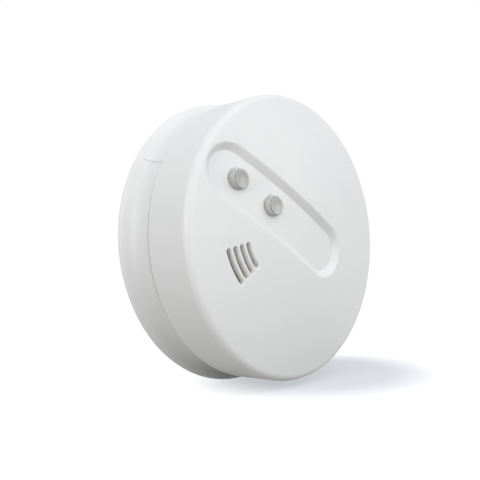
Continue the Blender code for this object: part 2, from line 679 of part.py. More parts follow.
def fasteners():
    upside_down = (math.pi, 0, 0)
    for i, centre in enumerate(BOSSES):
        screw = turned(f"housing_screw_{i + 1}", screw_profile(HOUSING_SCREW_LENGTH), SMALL_STEPS)
        part(screw, STEEL, LAYOUT, (*centre, TRAY_BOTTOM - SEAT), upside_down)
    for i, centre in enumerate(BOARD_SCREWS):
        screw = turned(f"board_screw_{i + 1}", screw_profile(BOARD_SCREW_LENGTH), SMALL_STEPS)
        part(screw, STEEL, LAYOUT, (*centre, DECK))


def circuit_board():
    reach = math.asin(BOARD_EDGE / BOARD_RADIUS)
    outline = arc(0, 0, BOARD_RADIUS, math.pi - reach, 2 * math.pi + reach, WIDE_STEPS)
    obj = plate("circuit_board", outline, BOARD_HEIGHT, BOARD_TOP)
    below = BOARD_HEIGHT - BOARD_THICKNESS
    above = BOARD_TOP + BOARD_THICKNESS
    for i, (x, y) in enumerate(BOSSES[1:]):
        notch = cylinder(f"board_notch_{i + 1}", BOSS_RADIUS + HOLE_CLEARANCE, below, above, (x, y))
        combine(obj, notch, 'DIFFERENCE', LAYOUT)
    for i, centre in enumerate(BOARD_SCREWS):
        hole = cylinder(f"board_hole_{i + 1}", SCREW_HOLE, below, above, centre, steps=SMALL_STEPS)
        combine(obj, hole, 'DIFFERENCE', LAYOUT)
    part(obj, BOARD_GREEN, LAYOUT)


def switch_and_lamp():
    switch_top = DECK + SWITCH_HEIGHT
    well = switch_top - 2 * BUTTON_TRAVEL - 3 * SEAT
    switch = block("tact_switch", (SWITCH_SIZE, SWITCH_SIZE, SWITCH_HEIGHT),
                   (BUTTON_ALONG, 0, DECK + SWITCH_HEIGHT / 2))
    bore = cylinder("switch_bore", PLUNGER_RADIUS + SEAT, well, switch_top * 1.1, (BUTTON_ALONG, 0))
    combine(switch, bore, 'DIFFERENCE', LAYOUT)
    part(switch, BLACK_PLASTIC, LAYOUT)
    plunger_foot = well + BUTTON_TRAVEL + SEAT
    plunger = cylinder("switch_plunger", PLUNGER_RADIUS, plunger_foot, switch_top + PLUNGER_RISE)
    part(plunger, BLACK_PLASTIC, LAYOUT, (BUTTON_ALONG, 0, 0))

    rim = LED_RADIUS + LED_FLANGE
    shoulder = LED_HEIGHT - LED_RADIUS
    dome = [(r, shoulder + z) for r, z in arc(0, 0, LED_RADIUS, math.pi / 2, 0, 4)]
    dome[0] = (0, LED_HEIGHT)
    foot = [(LED_RADIUS, LED_FLANGE_HEIGHT), (rim, LED_FLANGE_HEIGHT), (rim, 0), (0, 0)]
    part(turned("signal_led", dome + foot, SMALL_STEPS), LED_RED, LAYOUT, (LENS_ALONG, 0, DECK))


def board_components():
    chip = block("microcontroller", (CHIP_LENGTH, CHIP_WIDTH, CHIP_HEIGHT),
                 (BUTTON_ALONG + CHIP_BESIDE_BUTTON, BOARD_EDGE - CHIP_INSET, DECK + CHIP_HEIGHT / 2))
    part(chip, BLACK_PLASTIC, LAYOUT)
    flange = COIL_HEIGHT * 0.15
    waist = COIL_RADIUS * 0.8
    spool = [(0, COIL_HEIGHT), (COIL_RADIUS, COIL_HEIGHT), (COIL_RADIUS, COIL_HEIGHT - flange),
             (waist, COIL_HEIGHT - flange), (waist, flange), (COIL_RADIUS, flange), (COIL_RADIUS, 0), (0, 0)]
    coil = turned("sounder_coil", spool, SMALL_STEPS)
    part(coil, FERRITE, LAYOUT, (COIL_ALONG, COIL_INSET - BOARD_RADIUS, DECK))
    can = [(0, CAPACITOR_HEIGHT), (CAPACITOR_RADIUS * 0.9, CAPACITOR_HEIGHT),
           (CAPACITOR_RADIUS, CAPACITOR_HEIGHT * 0.95), (CAPACITOR_RADIUS, CAPACITOR_HEIGHT * 0.2),
           (CAPACITOR_RADIUS * 0.9, CAPACITOR_HEIGHT * 0.15), (CAPACITOR_RADIUS, CAPACITOR_HEIGHT * 0.1),
           (CAPACITOR_RADIUS, 0), (0, 0)]
    between_caps = (LENS_ALONG + BUTTON_ALONG) / 2
    part(turned("capacitor", can, SMALL_STEPS), CAPACITOR_SLEEVE, LAYOUT, (between_caps, 0, DECK))


def smoke_chamber():
    place = (CHAMBER_ALONG, CHAMBER_ACROSS, DECK)
    wall_top = CHAMBER_HEIGHT - CHAMBER_FLOOR
    floor = [(0, CHAMBER_FLOOR), (CHAMBER_RADIUS, CHAMBER_FLOOR), (CHAMBER_RADIUS, 0), (0, 0)]
    base = turned("chamber_base", floor, WIDE_STEPS)
    vane_circle = CHAMBER_RADIUS - VANE_LENGTH * 0.55
    vane_inner = vane_circle - VANE_LENGTH / 2
    bore_radius = LED_RADIUS + SEAT
    holder_width = 2 * (bore_radius + HOLDER_WALL)
    holder_outer = vane_inner - HOLDER_GAP
    axis_height = CHAMBER_FLOOR + bore_radius + HOLDER_WALL
    holder_top = axis_height + bore_radius + HOLDER_WALL
    holder_bottom = CHAMBER_FLOOR / 2
    bm = bmesh.new()
    for angle in SENSOR_ANGLES:
        centre = (holder_outer - HOLDER_LENGTH / 2, 0, (holder_bottom + holder_top) / 2)
        add_block(bm, (HOLDER_LENGTH, holder_width, holder_top - holder_bottom), centre, orbit=angle)
    holders = solid("sensor_holders", bm)
    holders.location = place
    combine(base, holders, 'UNION', LAYOUT)
    for i, angle in enumerate(SENSOR_ANGLES):
        bore = cylinder(f"sensor_bore_{i + 1}", bore_radius, holder_outer - 2 * HOLDER_LENGTH,
                        holder_outer + HOLDER_LENGTH, steps=SMALL_STEPS)
        bore.location = (CHAMBER_ALONG, CHAMBER_ACROSS, DECK + axis_height)
        bore.rotation_euler = (0, math.pi / 2, angle)
        combine(base, bore, 'DIFFERENCE', LAYOUT)
    part(base, BLACK_PLASTIC, LAYOUT, place)

    roof = [(0, CHAMBER_HEIGHT), (CHAMBER_RADIUS, CHAMBER_HEIGHT), (CHAMBER_RADIUS, wall_top), (0, wall_top)]
    cap = turned("chamber_cap", roof, WIDE_STEPS)
    bm = bmesh.new()
    vane_bottom = CHAMBER_FLOOR + SEAT
    vane_top = wall_top + CHAMBER_FLOOR / 2
    for i in range(VANE_COUNT):
        centre = (vane_circle, 0, (vane_bottom + vane_top) / 2)
        add_block(bm, (VANE_LENGTH, VANE_THICKNESS, vane_top - vane_bottom), centre, VANE_TURN,
                  2 * math.pi * i / VANE_COUNT)
    vanes = solid("labyrinth_vanes", bm)
    vanes.location = place
    combine(cap, vanes, 'UNION', LAYOUT)
    part(cap, BLACK_PLASTIC, LAYOUT, place)

    screen = turned("insect_screen", [(SCREEN_OUTER, CHAMBER_HEIGHT), (SCREEN_OUTER, 0), (SCREEN_INNER, 0),
                                      (SCREEN_INNER, CHAMBER_HEIGHT)], 3 * SCREEN_WINDOWS, closed=True)
    bm = bmesh.new()
    window = (4 * SCREEN_WALL, 2 * math.pi * SCREEN_INNER / SCREEN_WINDOWS - SCREEN_BAR,
              CHAMBER_HEIGHT - 2 * CHAMBER_FLOOR - 2 * SCREEN_BAR)
    for i in range(SCREEN_WINDOWS):
        add_block(bm, window, ((SCREEN_INNER + SCREEN_OUTER) / 2, 0, CHAMBER_HEIGHT / 2),
                  orbit=2 * math.pi * (i + 0.5) / SCREEN_WINDOWS)
    windows = solid("screen_windows", bm)
    windows.location = place
    combine(screen, windows, 'DIFFERENCE', LAYOUT)
    part(screen, STEEL, LAYOUT, place)

    rim = LED_RADIUS + LED_FLANGE
    shoulder = SENSOR_LENGTH - LED_RADIUS
    dome = [(r, shoulder + z) for r, z in arc(0, 0, LED_RADIUS, math.pi / 2, 0, 4)]
    dome[0] = (0, SENSOR_LENGTH)
    body = dome + [(LED_RADIUS, 0), (rim, 0), (rim, -LED_FLANGE_HEIGHT), (0, -LED_FLANGE_HEIGHT)]
    start = holder_outer + SEAT
    sensors = (("infrared_emitter", SENSOR_BLUE), ("photodiode", SENSOR_BLACK))
    for (name, look), angle in zip(sensors, SENSOR_ANGLES):
        along = CHAMBER_ALONG + start * math.cos(angle)
        across = CHAMBER_ACROSS + start * math.sin(angle)
        lamp = turned(name, body, SMALL_STEPS)
        part(lamp, look, LAYOUT, (along, across, DECK + axis_height), (0, -math.pi / 2, angle))


def sounder():
    place = (SOUNDER_ALONG, SOUNDER_ACROSS, DECK)
    inner = SOUNDER_RADIUS - SOUNDER_WALL
    ledge = inner - DISC_LEDGE
    cup = [(0, SOUNDER_WALL), (ledge, SOUNDER_WALL), (ledge, DISC_HEIGHT), (inner, DISC_HEIGHT),
           (inner, SOUNDER_HEIGHT), (SOUNDER_RADIUS, SOUNDER_HEIGHT), (SOUNDER_RADIUS, 0), (0, 0)]
    part(turned("sounder_housing", cup, WIDE_STEPS), BLACK_PLASTIC, LAYOUT, place)

    disc_radius = inner - SEAT
    disc_bottom = DISC_HEIGHT + SEAT
    disc_top = disc_bottom + DISC_THICKNESS
    disc = [(0, disc_top), (disc_radius, disc_top), (disc_radius, disc_bottom), (0, disc_bottom)]
    part(turned("piezo_disc", disc, WIDE_STEPS), BRASS, LAYOUT, place)
    ceramic_top = disc_bottom - SEAT
    ceramic_bottom = ceramic_top - DISC_THICKNESS
    rim = disc_radius - CERAMIC_INSET
    ceramic = [(0, ceramic_top), (rim, ceramic_top), (rim, ceramic_bottom), (0, ceramic_bottom)]
    part(turned("piezo_ceramic", ceramic, WIDE_STEPS), CERAMIC_GREY, LAYOUT, place)

    foot = disc_top + SEAT
    lid_top = foot + RESONATOR_HEIGHT
    lid_bottom = lid_top - SOUNDER_WALL
    resonator = [(disc_radius, lid_top), (disc_radius, foot), (ledge, foot), (ledge, lid_bottom),
                 (RESONATOR_HOLE, lid_bottom), (RESONATOR_HOLE, lid_top)]
    part(turned("resonator_cap", resonator, WIDE_STEPS, closed=True), BLACK_PLASTIC, LAYOUT, place)

    bottom = SOUNDER_HEIGHT + SEAT
    top = bottom + GASKET_THICKNESS
    gasket = [(SOUNDER_RADIUS, top), (SOUNDER_RADIUS, bottom), (inner, bottom), (inner, top)]
    part(turned("sounder_gasket", gasket, WIDE_STEPS, closed=True), RUBBER_GREY, LAYOUT, place)


def battery_and_contacts():
    body_right = POCKET_HALF - SEAT
    body_left = body_right - BATTERY_LENGTH
    middle = (BATTERY_BOTTOM + BATTERY_TOP) / 2
    case = block("battery", (BATTERY_LENGTH, BATTERY_WIDTH, BATTERY_HEIGHT),
                 ((body_left + body_right) / 2, POCKET_ACROSS, middle))
    bevel = case.modifiers.new("rounded_edges", 'BEVEL')
    bevel.width = BATTERY_EDGE
    bevel.segments = 2
    part(case, BATTERY_CASE, LAYOUT)

    facing_left = (0, -math.pi / 2, 0)
    rows = (("positive", POSITIVE_RADIUS, 1), ("negative", NEGATIVE_RADIUS, -1))
    for name, radius, side in rows:
        across = POCKET_ACROSS + side * TERMINAL_SPACING / 2
        snap = [(0, TERMINAL_HEIGHT), (radius * 0.85, TERMINAL_HEIGHT), (radius, TERMINAL_HEIGHT * 0.75),
                (radius * 0.9, SEAT), (0, SEAT)]
        terminal = turned("battery_terminal_" + name, snap, SMALL_STEPS)
        part(terminal, STEEL, LAYOUT, (body_left, across, middle), facing_left)

        back = -POCKET_HALF + SEAT + CONTACT_THICKNESS / 2
        touch = body_left - TERMINAL_HEIGHT - SEAT - CONTACT_THICKNESS / 2
        fold = (touch - back) / 2
        crown = BATTERY_TOP - 4 * SEAT - fold
        path = [(back, TRAY_BOTTOM)] + arc(back + fold, crown, fold, math.pi, 0, 6)
        path += [(touch, middle - CONTACT_TOUCH), (touch - fold, middle - CONTACT_TAIL)]
        outline = strip(path, CONTACT_THICKNESS)
        leaf = plate("contact_" + name, outline, -CONTACT_WIDTH / 2, CONTACT_WIDTH / 2)
        part(leaf, STEEL, LAYOUT, (0, across, 0), (math.pi / 2, 0, 0))


clear_scene()
PARTS = collection("smoke_detector")
CUTTERS = collection("cutters")
STAND = empty("wall_frame", rotation=(math.pi / 2, 0, 0))
HEAD = empty("head_axis", STAND)
LAYOUT = empty("layout_axis", HEAD, (0, 0, RECESS_ANGLE))

mounting_base()
rear_housing()
front_cover()
clear_caps()
circuit_board()
switch_and_lamp()
board_components()
smoke_chamber()
sounder()
battery_and_contacts()
fasteners()
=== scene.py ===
# %% [markdown]
# # A smoke detector on its edge
# This lesson dresses the solids of a smoke detector: a domed white head, twisted onto a white base. Each
# step names a piece or a finish, says how it could be made, and then makes it. The solids come first,
# because they settle every size and every place. Their box is kept as well.

# %% Load the solids
import json
import math

import bmesh
import bpy
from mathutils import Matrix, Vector

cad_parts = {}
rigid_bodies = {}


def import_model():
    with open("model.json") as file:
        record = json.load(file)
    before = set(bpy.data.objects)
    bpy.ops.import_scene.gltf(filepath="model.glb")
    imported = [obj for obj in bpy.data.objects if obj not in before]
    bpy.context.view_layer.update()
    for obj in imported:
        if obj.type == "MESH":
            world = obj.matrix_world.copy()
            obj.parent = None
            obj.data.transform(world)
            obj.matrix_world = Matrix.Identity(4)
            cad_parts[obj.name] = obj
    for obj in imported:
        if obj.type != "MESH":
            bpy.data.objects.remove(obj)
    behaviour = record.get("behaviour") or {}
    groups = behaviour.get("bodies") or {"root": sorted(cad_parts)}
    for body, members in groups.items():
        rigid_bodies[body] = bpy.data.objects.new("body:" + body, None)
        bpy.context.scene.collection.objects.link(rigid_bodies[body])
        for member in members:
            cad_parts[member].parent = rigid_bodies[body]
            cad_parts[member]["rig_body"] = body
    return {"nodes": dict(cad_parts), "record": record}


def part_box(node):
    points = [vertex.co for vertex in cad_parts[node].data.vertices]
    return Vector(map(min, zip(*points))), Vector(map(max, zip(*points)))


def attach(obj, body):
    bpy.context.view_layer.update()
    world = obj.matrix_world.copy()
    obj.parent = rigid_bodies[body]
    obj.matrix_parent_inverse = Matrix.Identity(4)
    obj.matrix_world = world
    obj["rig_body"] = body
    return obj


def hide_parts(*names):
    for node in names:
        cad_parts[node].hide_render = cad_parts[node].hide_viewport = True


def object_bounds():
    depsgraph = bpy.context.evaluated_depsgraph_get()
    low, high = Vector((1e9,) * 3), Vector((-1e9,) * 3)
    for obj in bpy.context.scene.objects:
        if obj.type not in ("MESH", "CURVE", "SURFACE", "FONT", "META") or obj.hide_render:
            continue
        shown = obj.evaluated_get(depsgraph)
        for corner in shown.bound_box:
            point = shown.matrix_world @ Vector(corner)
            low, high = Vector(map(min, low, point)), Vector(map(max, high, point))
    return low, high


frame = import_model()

MM = 0.001
cad_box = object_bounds()
print(len(frame["nodes"]), "nodes, box", [[round(v / MM, 1) for v in corner] for corner in cad_box], "mm")

# %% [markdown]
# ## Camera
# The photograph looks at the detector from its front left, level with its middle. A camera could be aimed
# by a constraint, but a plain place and a turn are easier to read, and they came from lining up the two
# round edges and the recess of the face. The lens sees the detector from close by, so the near edge looks
# larger.

# %% Camera
CAMERA_PLACE = (-168.42 * MM, -167.88 * MM, -8.755 * MM)
CAMERA_TURN = (math.radians(92.181), math.radians(2.253), math.radians(-45.908))
LENS = 45
SENSOR = 36

bpy.ops.object.select_all(action='DESELECT')
bpy.ops.object.camera_add(location=CAMERA_PLACE, rotation=CAMERA_TURN)
camera = bpy.context.active_object
camera.data.lens = LENS
camera.data.sensor_width = SENSOR
camera.data.clip_start = 10 * MM
bpy.context.scene.camera = camera
print("camera", round(Vector(CAMERA_PLACE).length / MM), "mm from the wall plate's middle")

# %% [markdown]
# ## Shader sums
# A finish is a small sum of noises, masks and colours. Nodes could be wired one by one, but a sum is
# easier to read as a sum. So one class wraps an output of a node: adding or multiplying two of them makes
# the Math node, and its one method for all other nodes takes the type, the settings and what goes into the
# sockets.

# %% A wrapped output and the sums on it
class Wire:
    """An output of a shader node, or the start of a new tree when it has no output yet."""

    def __init__(self, tree, output=None):
        self.tree = tree
        self.output = output

    def node(self, kind, settings=None, sockets=None, output=0):
        """Add a node, set it up, feed its sockets and give one of its outputs."""
        made = self.tree.nodes.new(kind)
        for name, setting in (settings or {}).items():
            setattr(made, name, setting)
        for name, given in (sockets or {}).items():
            if isinstance(given, Wire):
                self.tree.links.new(given.output, made.inputs[name])
            else:
                made.inputs[name].default_value = given
        return Wire(self.tree, made.outputs[output])

    def sum(self, operation, first, second):
        return self.node("ShaderNodeMath", {"operation": operation}, {0: first, 1: second})

    def __add__(self, other):
        return self.sum('ADD', self, other)

    def __radd__(self, other):
        return self.sum('ADD', other, self)

    def __sub__(self, other):
        return self.sum('SUBTRACT', self, other)

    def __rsub__(self, other):
        return self.sum('SUBTRACT', other, self)

    def __mul__(self, other):
        return self.sum('MULTIPLY', self, other)

    def __rmul__(self, other):
        return self.sum('MULTIPLY', other, self)

    def __gt__(self, other):
        return self.sum('GREATER_THAN', self, other)


print("sums ready")

# %% [markdown]
# Three short words are used by nearly every finish: where a point is on the piece, a noise of a given
# grain, and a blend of two colours. The place is read in the piece's own coordinates, so a pattern stays
# put when the piece moves. Grain sizes are given in millimetres, because that is how one would measure
# them on the real thing.

# %% Places, noises and blends
def place_on(wire):
    """Place on the piece, in its own coordinates."""
    return wire.node("ShaderNodeTexCoord", output="Object")


def noise(place, grain, detail=2.0, roughness=0.5):
    """Cloudy noise from 0 to 1 whose lumps are about one grain across, in metres."""
    return place.node("ShaderNodeTexNoise", None, {"Vector": place, "Scale": 1 / grain, "Detail": detail,
                                                   "Roughness": roughness})


def ramp(value, low, high):
    """Value stretched so that low becomes 0 and high becomes 1."""
    return value.node("ShaderNodeMapRange", {"interpolation_type": 'SMOOTHSTEP'},
                      {"Value": value, "From Min": low, "From Max": high})


def blend(share, first, second):
    """Colour between two others."""
    first = first if isinstance(first, Wire) else (*first, 1)
    second = second if isinstance(second, Wire) else (*second, 1)
    return share.node("ShaderNodeMix", {"data_type": 'RGBA'}, {0: share, 6: first, 7: second}, output=2)


def bump(height, depth, strength=1.0):
    """Normal that is tilted as if the surface rose by depth where height is 1."""
    return height.node("ShaderNodeBump", None, {"Height": height, "Distance": depth, "Strength": strength})


print("grain sizes are in metres, for example", 0.5 * MM)


# %% Start and finish of a material
def new_finish(name):
    """New material and the wire that starts its nodes."""
    material = bpy.data.materials.new(name)
    material.use_nodes = True
    return material, Wire(material.node_tree)


def set_finish(material, **sockets):
    """Feed the surface shader: a wire is linked, a number or a colour is set on its socket."""
    tree = material.node_tree
    shader = tree.nodes["Principled BSDF"]
    for name, given in sockets.items():
        socket = shader.inputs[name.replace("_", " ")]
        if isinstance(given, Wire):
            tree.links.new(given.output, socket)
        else:
            socket.default_value = given
    print("finish", material.name)
    return material


# %% [markdown]
# ## Moulded white plastic
# The head and the base are moulded in white plastic with a soft satin skin. The mould was spark-eroded,
# which leaves a very fine grain: a bump of a few hundredths of a millimetre. The colour is never quite
# even, because the melt swirls as it fills the mould, and hands and dust dull the skin in patches. The
# tray inside is the same plastic, a little greyer and duller, so one function makes both.

# %% Moulded plastic
MILK_DEPTH = 1.5 * MM
MILK_COLOURS = (1.0, 0.9, 0.75)
SWIRL_GRAIN = 26 * MM
DUST_GRAIN = 7 * MM
DUST_TINT = 0.965
DUST_SHARE = 0.35


def moulded(name, pale, dull, roughness, grain, depth, milk=0.0):
    """Plastic with an eroded grain, a faint swirl and dull patches. Milk is how much light it lets in."""
    material, start = new_finish(name)
    place = place_on(start)
    swirl = ramp(noise(place, SWIRL_GRAIN, 3.0), 0.3, 0.7)
    dust_and_shade = ramp(noise(place, DUST_GRAIN, 5.0, 0.65), 0.45, 0.85)
    skin = noise(place, grain, 3.0, 0.6)
    colour = blend(dust_and_shade * DUST_SHARE, blend(swirl, pale, dull), tuple(c * DUST_TINT for c in dull))
    return set_finish(material, Base_Color=colour, Roughness=roughness + 0.07 * dust_and_shade + 0.06 * skin,
                      Normal=bump(skin, depth, 0.35), IOR=1.5, Subsurface_Weight=milk,
                      Subsurface_Radius=MILK_COLOURS, Subsurface_Scale=MILK_DEPTH)


white_plastic = moulded("white_plastic", (0.80, 0.805, 0.81), (0.785, 0.79, 0.80), 0.40,
                        0.45 * MM, 0.03 * MM)
tray_plastic = moulded("tray_plastic", (0.74, 0.75, 0.74), (0.71, 0.72, 0.71), 0.48,
                       0.4 * MM, 0.03 * MM)

# %% [markdown]
# ## Modelling helpers
# Every piece is modelled lying on its back, with z out of the wall, as it would lie on a bench. A round
# piece starts as one vertex, which is extruded along its section and spun. A flat piece starts as a
# circle, whose vertices are pulled onto an outline before it is extruded. Both are closed up and get
# outward faces.

# %% Start a piece
def pick(obj):
    """Make one object the only one selected."""
    bpy.ops.object.select_all(action='DESELECT')
    obj.select_set(True)
    bpy.context.view_layer.objects.active = obj


def close_up():
    """Merge what lies on itself, turn all faces outward and leave edit mode."""
    bpy.ops.mesh.select_all(action='SELECT')
    bpy.ops.mesh.remove_doubles(threshold=0.001 * MM)
    bpy.ops.mesh.normals_make_consistent(inside=False)
    bpy.ops.object.mode_set(mode='OBJECT')


def named(name):
    """Name the object that was just added, and its mesh."""
    obj = bpy.context.active_object
    obj.name = name
    obj.data.name = name
    return obj


def edit_all():
    """Enter edit mode with every vertex selected."""
    bpy.ops.object.mode_set(mode='EDIT')
    bpy.ops.mesh.select_mode(type='VERT')
    bpy.ops.mesh.select_all(action='SELECT')


def draw(name, points):
    """A line as by hand: one vertex, then an extrusion to each further point. Stays in edit mode."""
    bpy.ops.object.select_all(action='DESELECT')
    bpy.ops.mesh.primitive_plane_add(size=MM)
    obj = named(name)
    edit_all()
    bpy.ops.mesh.merge(type='CENTER')
    bpy.ops.transform.translate(value=points[0])
    for here, there in zip(points, points[1:]):
        step = Vector(there) - Vector(here)
        bpy.ops.mesh.extrude_region_move(TRANSFORM_OT_translate={"value": step})
    return obj


def turned(name, section, steps):
    """Round piece: a section of (radius, height) points spun about the z axis."""
    obj = draw(name, [(radius, 0, height) for radius, height in section])
    bpy.ops.mesh.select_all(action='SELECT')
    bpy.ops.mesh.spin(steps=steps, angle=2 * math.pi, center=(0, 0, 0), axis=(0, 0, 1))
    close_up()
    return obj


def plate(name, outline, bottom, top):
    """Flat piece: a circle's vertices pulled onto an outline of (x, y) points, then extruded."""
    bpy.ops.object.select_all(action='DESELECT')
    bpy.ops.mesh.primitive_circle_add(vertices=len(outline), radius=MM, fill_type='NGON')
    obj = named(name)
    for vertex, (x, y) in zip(obj.data.vertices, outline):
        vertex.co = (x, y, bottom)
    edit_all()
    bpy.ops.mesh.extrude_region_move(TRANSFORM_OT_translate={"value": (0, 0, top - bottom)})
    close_up()
    return obj


print("round and flat pieces can be started")


# %% Join, cut and finish a piece
def combine(obj, tool, operation):
    """Join a second solid to the first, or cut it away."""
    pick(obj)
    change = obj.modifiers.new(operation.lower(), 'BOOLEAN')
    change.operation = operation
    change.object = tool
    change.solver = 'EXACT'
    bpy.ops.object.modifier_apply(modifier=change.name)
    bpy.data.objects.remove(tool, do_unlink=True)


def arc(centre, radius, start, end, count):
    """Points from one angle to another about a centre, both ends included."""
    angles = [start + (end - start) * i / count for i in range(count + 1)]
    return [(centre[0] + radius * math.cos(a), centre[1] + radius * math.sin(a)) for a in angles]


def circle(centre, radius, count):
    """Outline of a circle."""
    return arc(centre, radius, 0, 2 * math.pi, count)[:-1]


def sector(inner, outer, start, end, count):
    """Outline of a piece of a flat ring."""
    return arc((0, 0), outer, start, end, count) + arc((0, 0), inner, end, start, count)


def stand_up(obj, turn=0.0):
    """Turn a piece about the wall's normal, then lift it upright. Its object stays at the origin."""
    pick(obj)
    for rotation in ((0, 0, turn), (math.pi / 2, 0, 0)):
        obj.rotation_euler = rotation
        bpy.ops.object.transform_apply(location=False, rotation=True, scale=False)


def hand_over(obj, node, material, sharp=30):
    """Shade a finished piece, give it its finish and let it stand for a solid."""
    pick(obj)
    bpy.ops.object.shade_smooth_by_angle(angle=math.radians(sharp))
    if not obj.data.materials:
        obj.data.materials.append(material)
    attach(obj, frame["nodes"][node]["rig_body"])
    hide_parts(node)
    print(obj.name, "stands for", node, "with", len(obj.data.polygons), "faces")


print("pieces can be joined, cut and handed over")

# %% [markdown]
# ## The domed cover: its heights
# The front of the head is one moulded shell. Its face is a very shallow dome that rolls over a round edge
# into the skirt, and a long recess with round ends is sunk into it, parallel to the dome. A Boolean cut
# could sink the recess, but its soft upper rim would then need a bevel on a curved edge. So the height of
# the skin is worked out for any place instead: the lower one of the dome and of the recess's sloping wall,
# blended softly where they meet. Places are in the recess's own frame, with x along it.

# %% Heights of the cover
COVER_RADIUS = 51.3 * MM
COVER_REAR = 13.95 * MM
COVER_FRONT = 39.478 * MM
COVER_WALL = 2 * MM
COVER_DRAFT = 0.25 * MM
DOME = 190 * MM
EDGE_ROUND = 3 * MM
RECESS_TURN = math.radians(-31.2)
RECESS_ENDS = (-38.75 * MM, 10.1 * MM)
RECESS_FLOOR_HALF = 7.55 * MM
RECESS_RIM_HALF = 9.9 * MM
RECESS_DEPTH = 2.05 * MM
RECESS_SOFT = 0.3 * MM

DOME_CENTRE = COVER_FRONT - DOME
EDGE_CENTRE = COVER_RADIUS - COVER_DRAFT - EDGE_ROUND
EDGE_HEIGHT = DOME_CENTRE + math.sqrt((DOME - EDGE_ROUND) ** 2 - EDGE_CENTRE ** 2)
WALL_SLOPE = RECESS_DEPTH / (RECESS_RIM_HALF - RECESS_FLOOR_HALF)


def dome(radius, inset=0.0):
    """Height of the dome's skin, or of the skin a wall further in."""
    return DOME_CENTRE + math.sqrt((DOME - inset) ** 2 - radius ** 2)


def rounded_dome(radius, inset=0.0):
    """Height of the dome with its rolled-over edge."""
    meet = EDGE_CENTRE * (DOME - inset) / (DOME - EDGE_ROUND)
    if radius < meet:
        return dome(radius, inset)
    edge = EDGE_ROUND - inset
    return EDGE_HEIGHT + math.sqrt(max(edge ** 2 - (radius - EDGE_CENTRE) ** 2, 0))


def from_recess_line(x, y):
    """Distance to the recess's centre line."""
    nearest = min(max(x, RECESS_ENDS[0]), RECESS_ENDS[1])
    return math.hypot(x - nearest, y)


def face_height(x, y):
    """Height of the cover's outer skin."""
    radius = math.hypot(x, y)
    outside = rounded_dome(radius)
    beyond_floor = max(from_recess_line(x, y) - RECESS_FLOOR_HALF, 0)
    wall = dome(radius) - RECESS_DEPTH + WALL_SLOPE * beyond_floor
    soften = max(RECESS_SOFT - abs(outside - wall), 0) / RECESS_SOFT
    return min(outside, wall) - soften ** 2 * RECESS_SOFT / 4


def under_recess(x, y):
    """How far the inner skin is lowered, to keep the wall's thickness under the recess."""
    share = (RECESS_RIM_HALF + RECESS_DEPTH - from_recess_line(x, y)) / (RECESS_RIM_HALF - RECESS_FLOOR_HALF)
    share = min(max(share, 0), 1)
    return RECESS_DEPTH * share * share * (3 - 2 * share)


def inner_height(x, y):
    """Height of the cover's inner skin."""
    return rounded_dome(math.hypot(x, y), COVER_WALL) - under_recess(x, y)


print("face", round(face_height(0, 0) / MM, 2), "mm in the recess,",
      round(face_height(0, 20 * MM) / MM, 2), "mm beside it")

# %% [markdown]
# ## The domed cover: one loop, extruded from ring to ring
# The mesh should follow the recess, so that its floor's edge is a clean line, and follow the round rim as
# well. A grid does neither. So the loop of vertices is like the runners on a running track: each has a
# start on the recess's centre line and a direction straight away from it, and walks out until it meets the
# round rim. One loop is extruded from the middle of the inner skin, over the rear edge and back over the
# face to the middle.

# %% Stations round the recess
RIGHT_STEPS = 96
SIDE_STEPS = 40
LEFT_STEPS = 48
LEFT_END, RIGHT_END = RECESS_ENDS

quarter = math.pi / 2
stations = [(RIGHT_END, -quarter + math.pi * i / RIGHT_STEPS) for i in range(RIGHT_STEPS + 1)]
side = [RIGHT_END + (LEFT_END - RIGHT_END) * i / SIDE_STEPS for i in range(1, SIDE_STEPS)]
stations += [(along, quarter) for along in side]
stations += [(LEFT_END, quarter + math.pi * i / LEFT_STEPS) for i in range(LEFT_STEPS + 1)]
stations += [(along, -quarter) for along in reversed(side)]
print(len(stations), "stations")


def walk(station, distance):
    """Place that is a distance away from the recess's centre line."""
    along, angle = station
    return along + distance * math.cos(angle), distance * math.sin(angle)


def reach(station, radius):
    """How far a station walks until it meets a circle about the cover's axis."""
    along, angle = station
    return math.sqrt(radius ** 2 - (along * math.sin(angle)) ** 2) - along * math.cos(angle)


# %% Rings of the cover
FACE_CIRCLE = 50.1 * MM
INNER_CIRCLE = 48.6 * MM
TRACK_EDGE = 10.7 * MM
REAR_ROUND = 0.4 * MM
TRACK_ROWS = [10.5, 10.3, 10.1, 9.95, 9.8, 9.6, 9.3, 8.9, 8.4, 7.9, 7.62, 7.55, 7.45, 6.6, 5.5, 4.0,
              2.0, 0.0]
FACE_SHARES = [1, 0.995, 0.99, 0.984, 0.977, 0.969, 0.96, 0.95, 0.935, 0.915, 0.89, 0.86, 0.82, 0.77,
               0.71, 0.64, 0.56, 0.48, 0.40, 0.32, 0.25, 0.18, 0.12, 0.07, 0.03, 0]
INNER_SHARES = [i / 24 for i in range(25)]


def skin_ring(distances, height):
    """Ring on a skin: each station at its own distance from the recess's line."""
    places = [walk(station, distance) for station, distance in zip(stations, distances)]
    return [(x, y, height(x, y)) for x, y in places]


def round_ring(radius, height):
    """Ring that is a circle about the cover's axis."""
    return [(*walk(station, reach(station, radius)), height) for station in stations]


def edge_rings(inset, angles):
    """Rings down or up the rolled-over edge, at angles above the skirt."""
    edge = EDGE_ROUND - inset
    return [round_ring(EDGE_CENTRE + edge * math.cos(a), EDGE_HEIGHT + edge * math.sin(a)) for a in angles]


def skirt_rings(radius, rows):
    """Rings on the skirt between its rear edge and the rolled-over edge, which is a little narrower."""
    low = COVER_REAR + REAR_ROUND
    shares = [i / rows for i in range(rows + 1)]
    return [round_ring(radius - COVER_DRAFT * s, low + (EDGE_HEIGHT - low) * s) for s in shares]


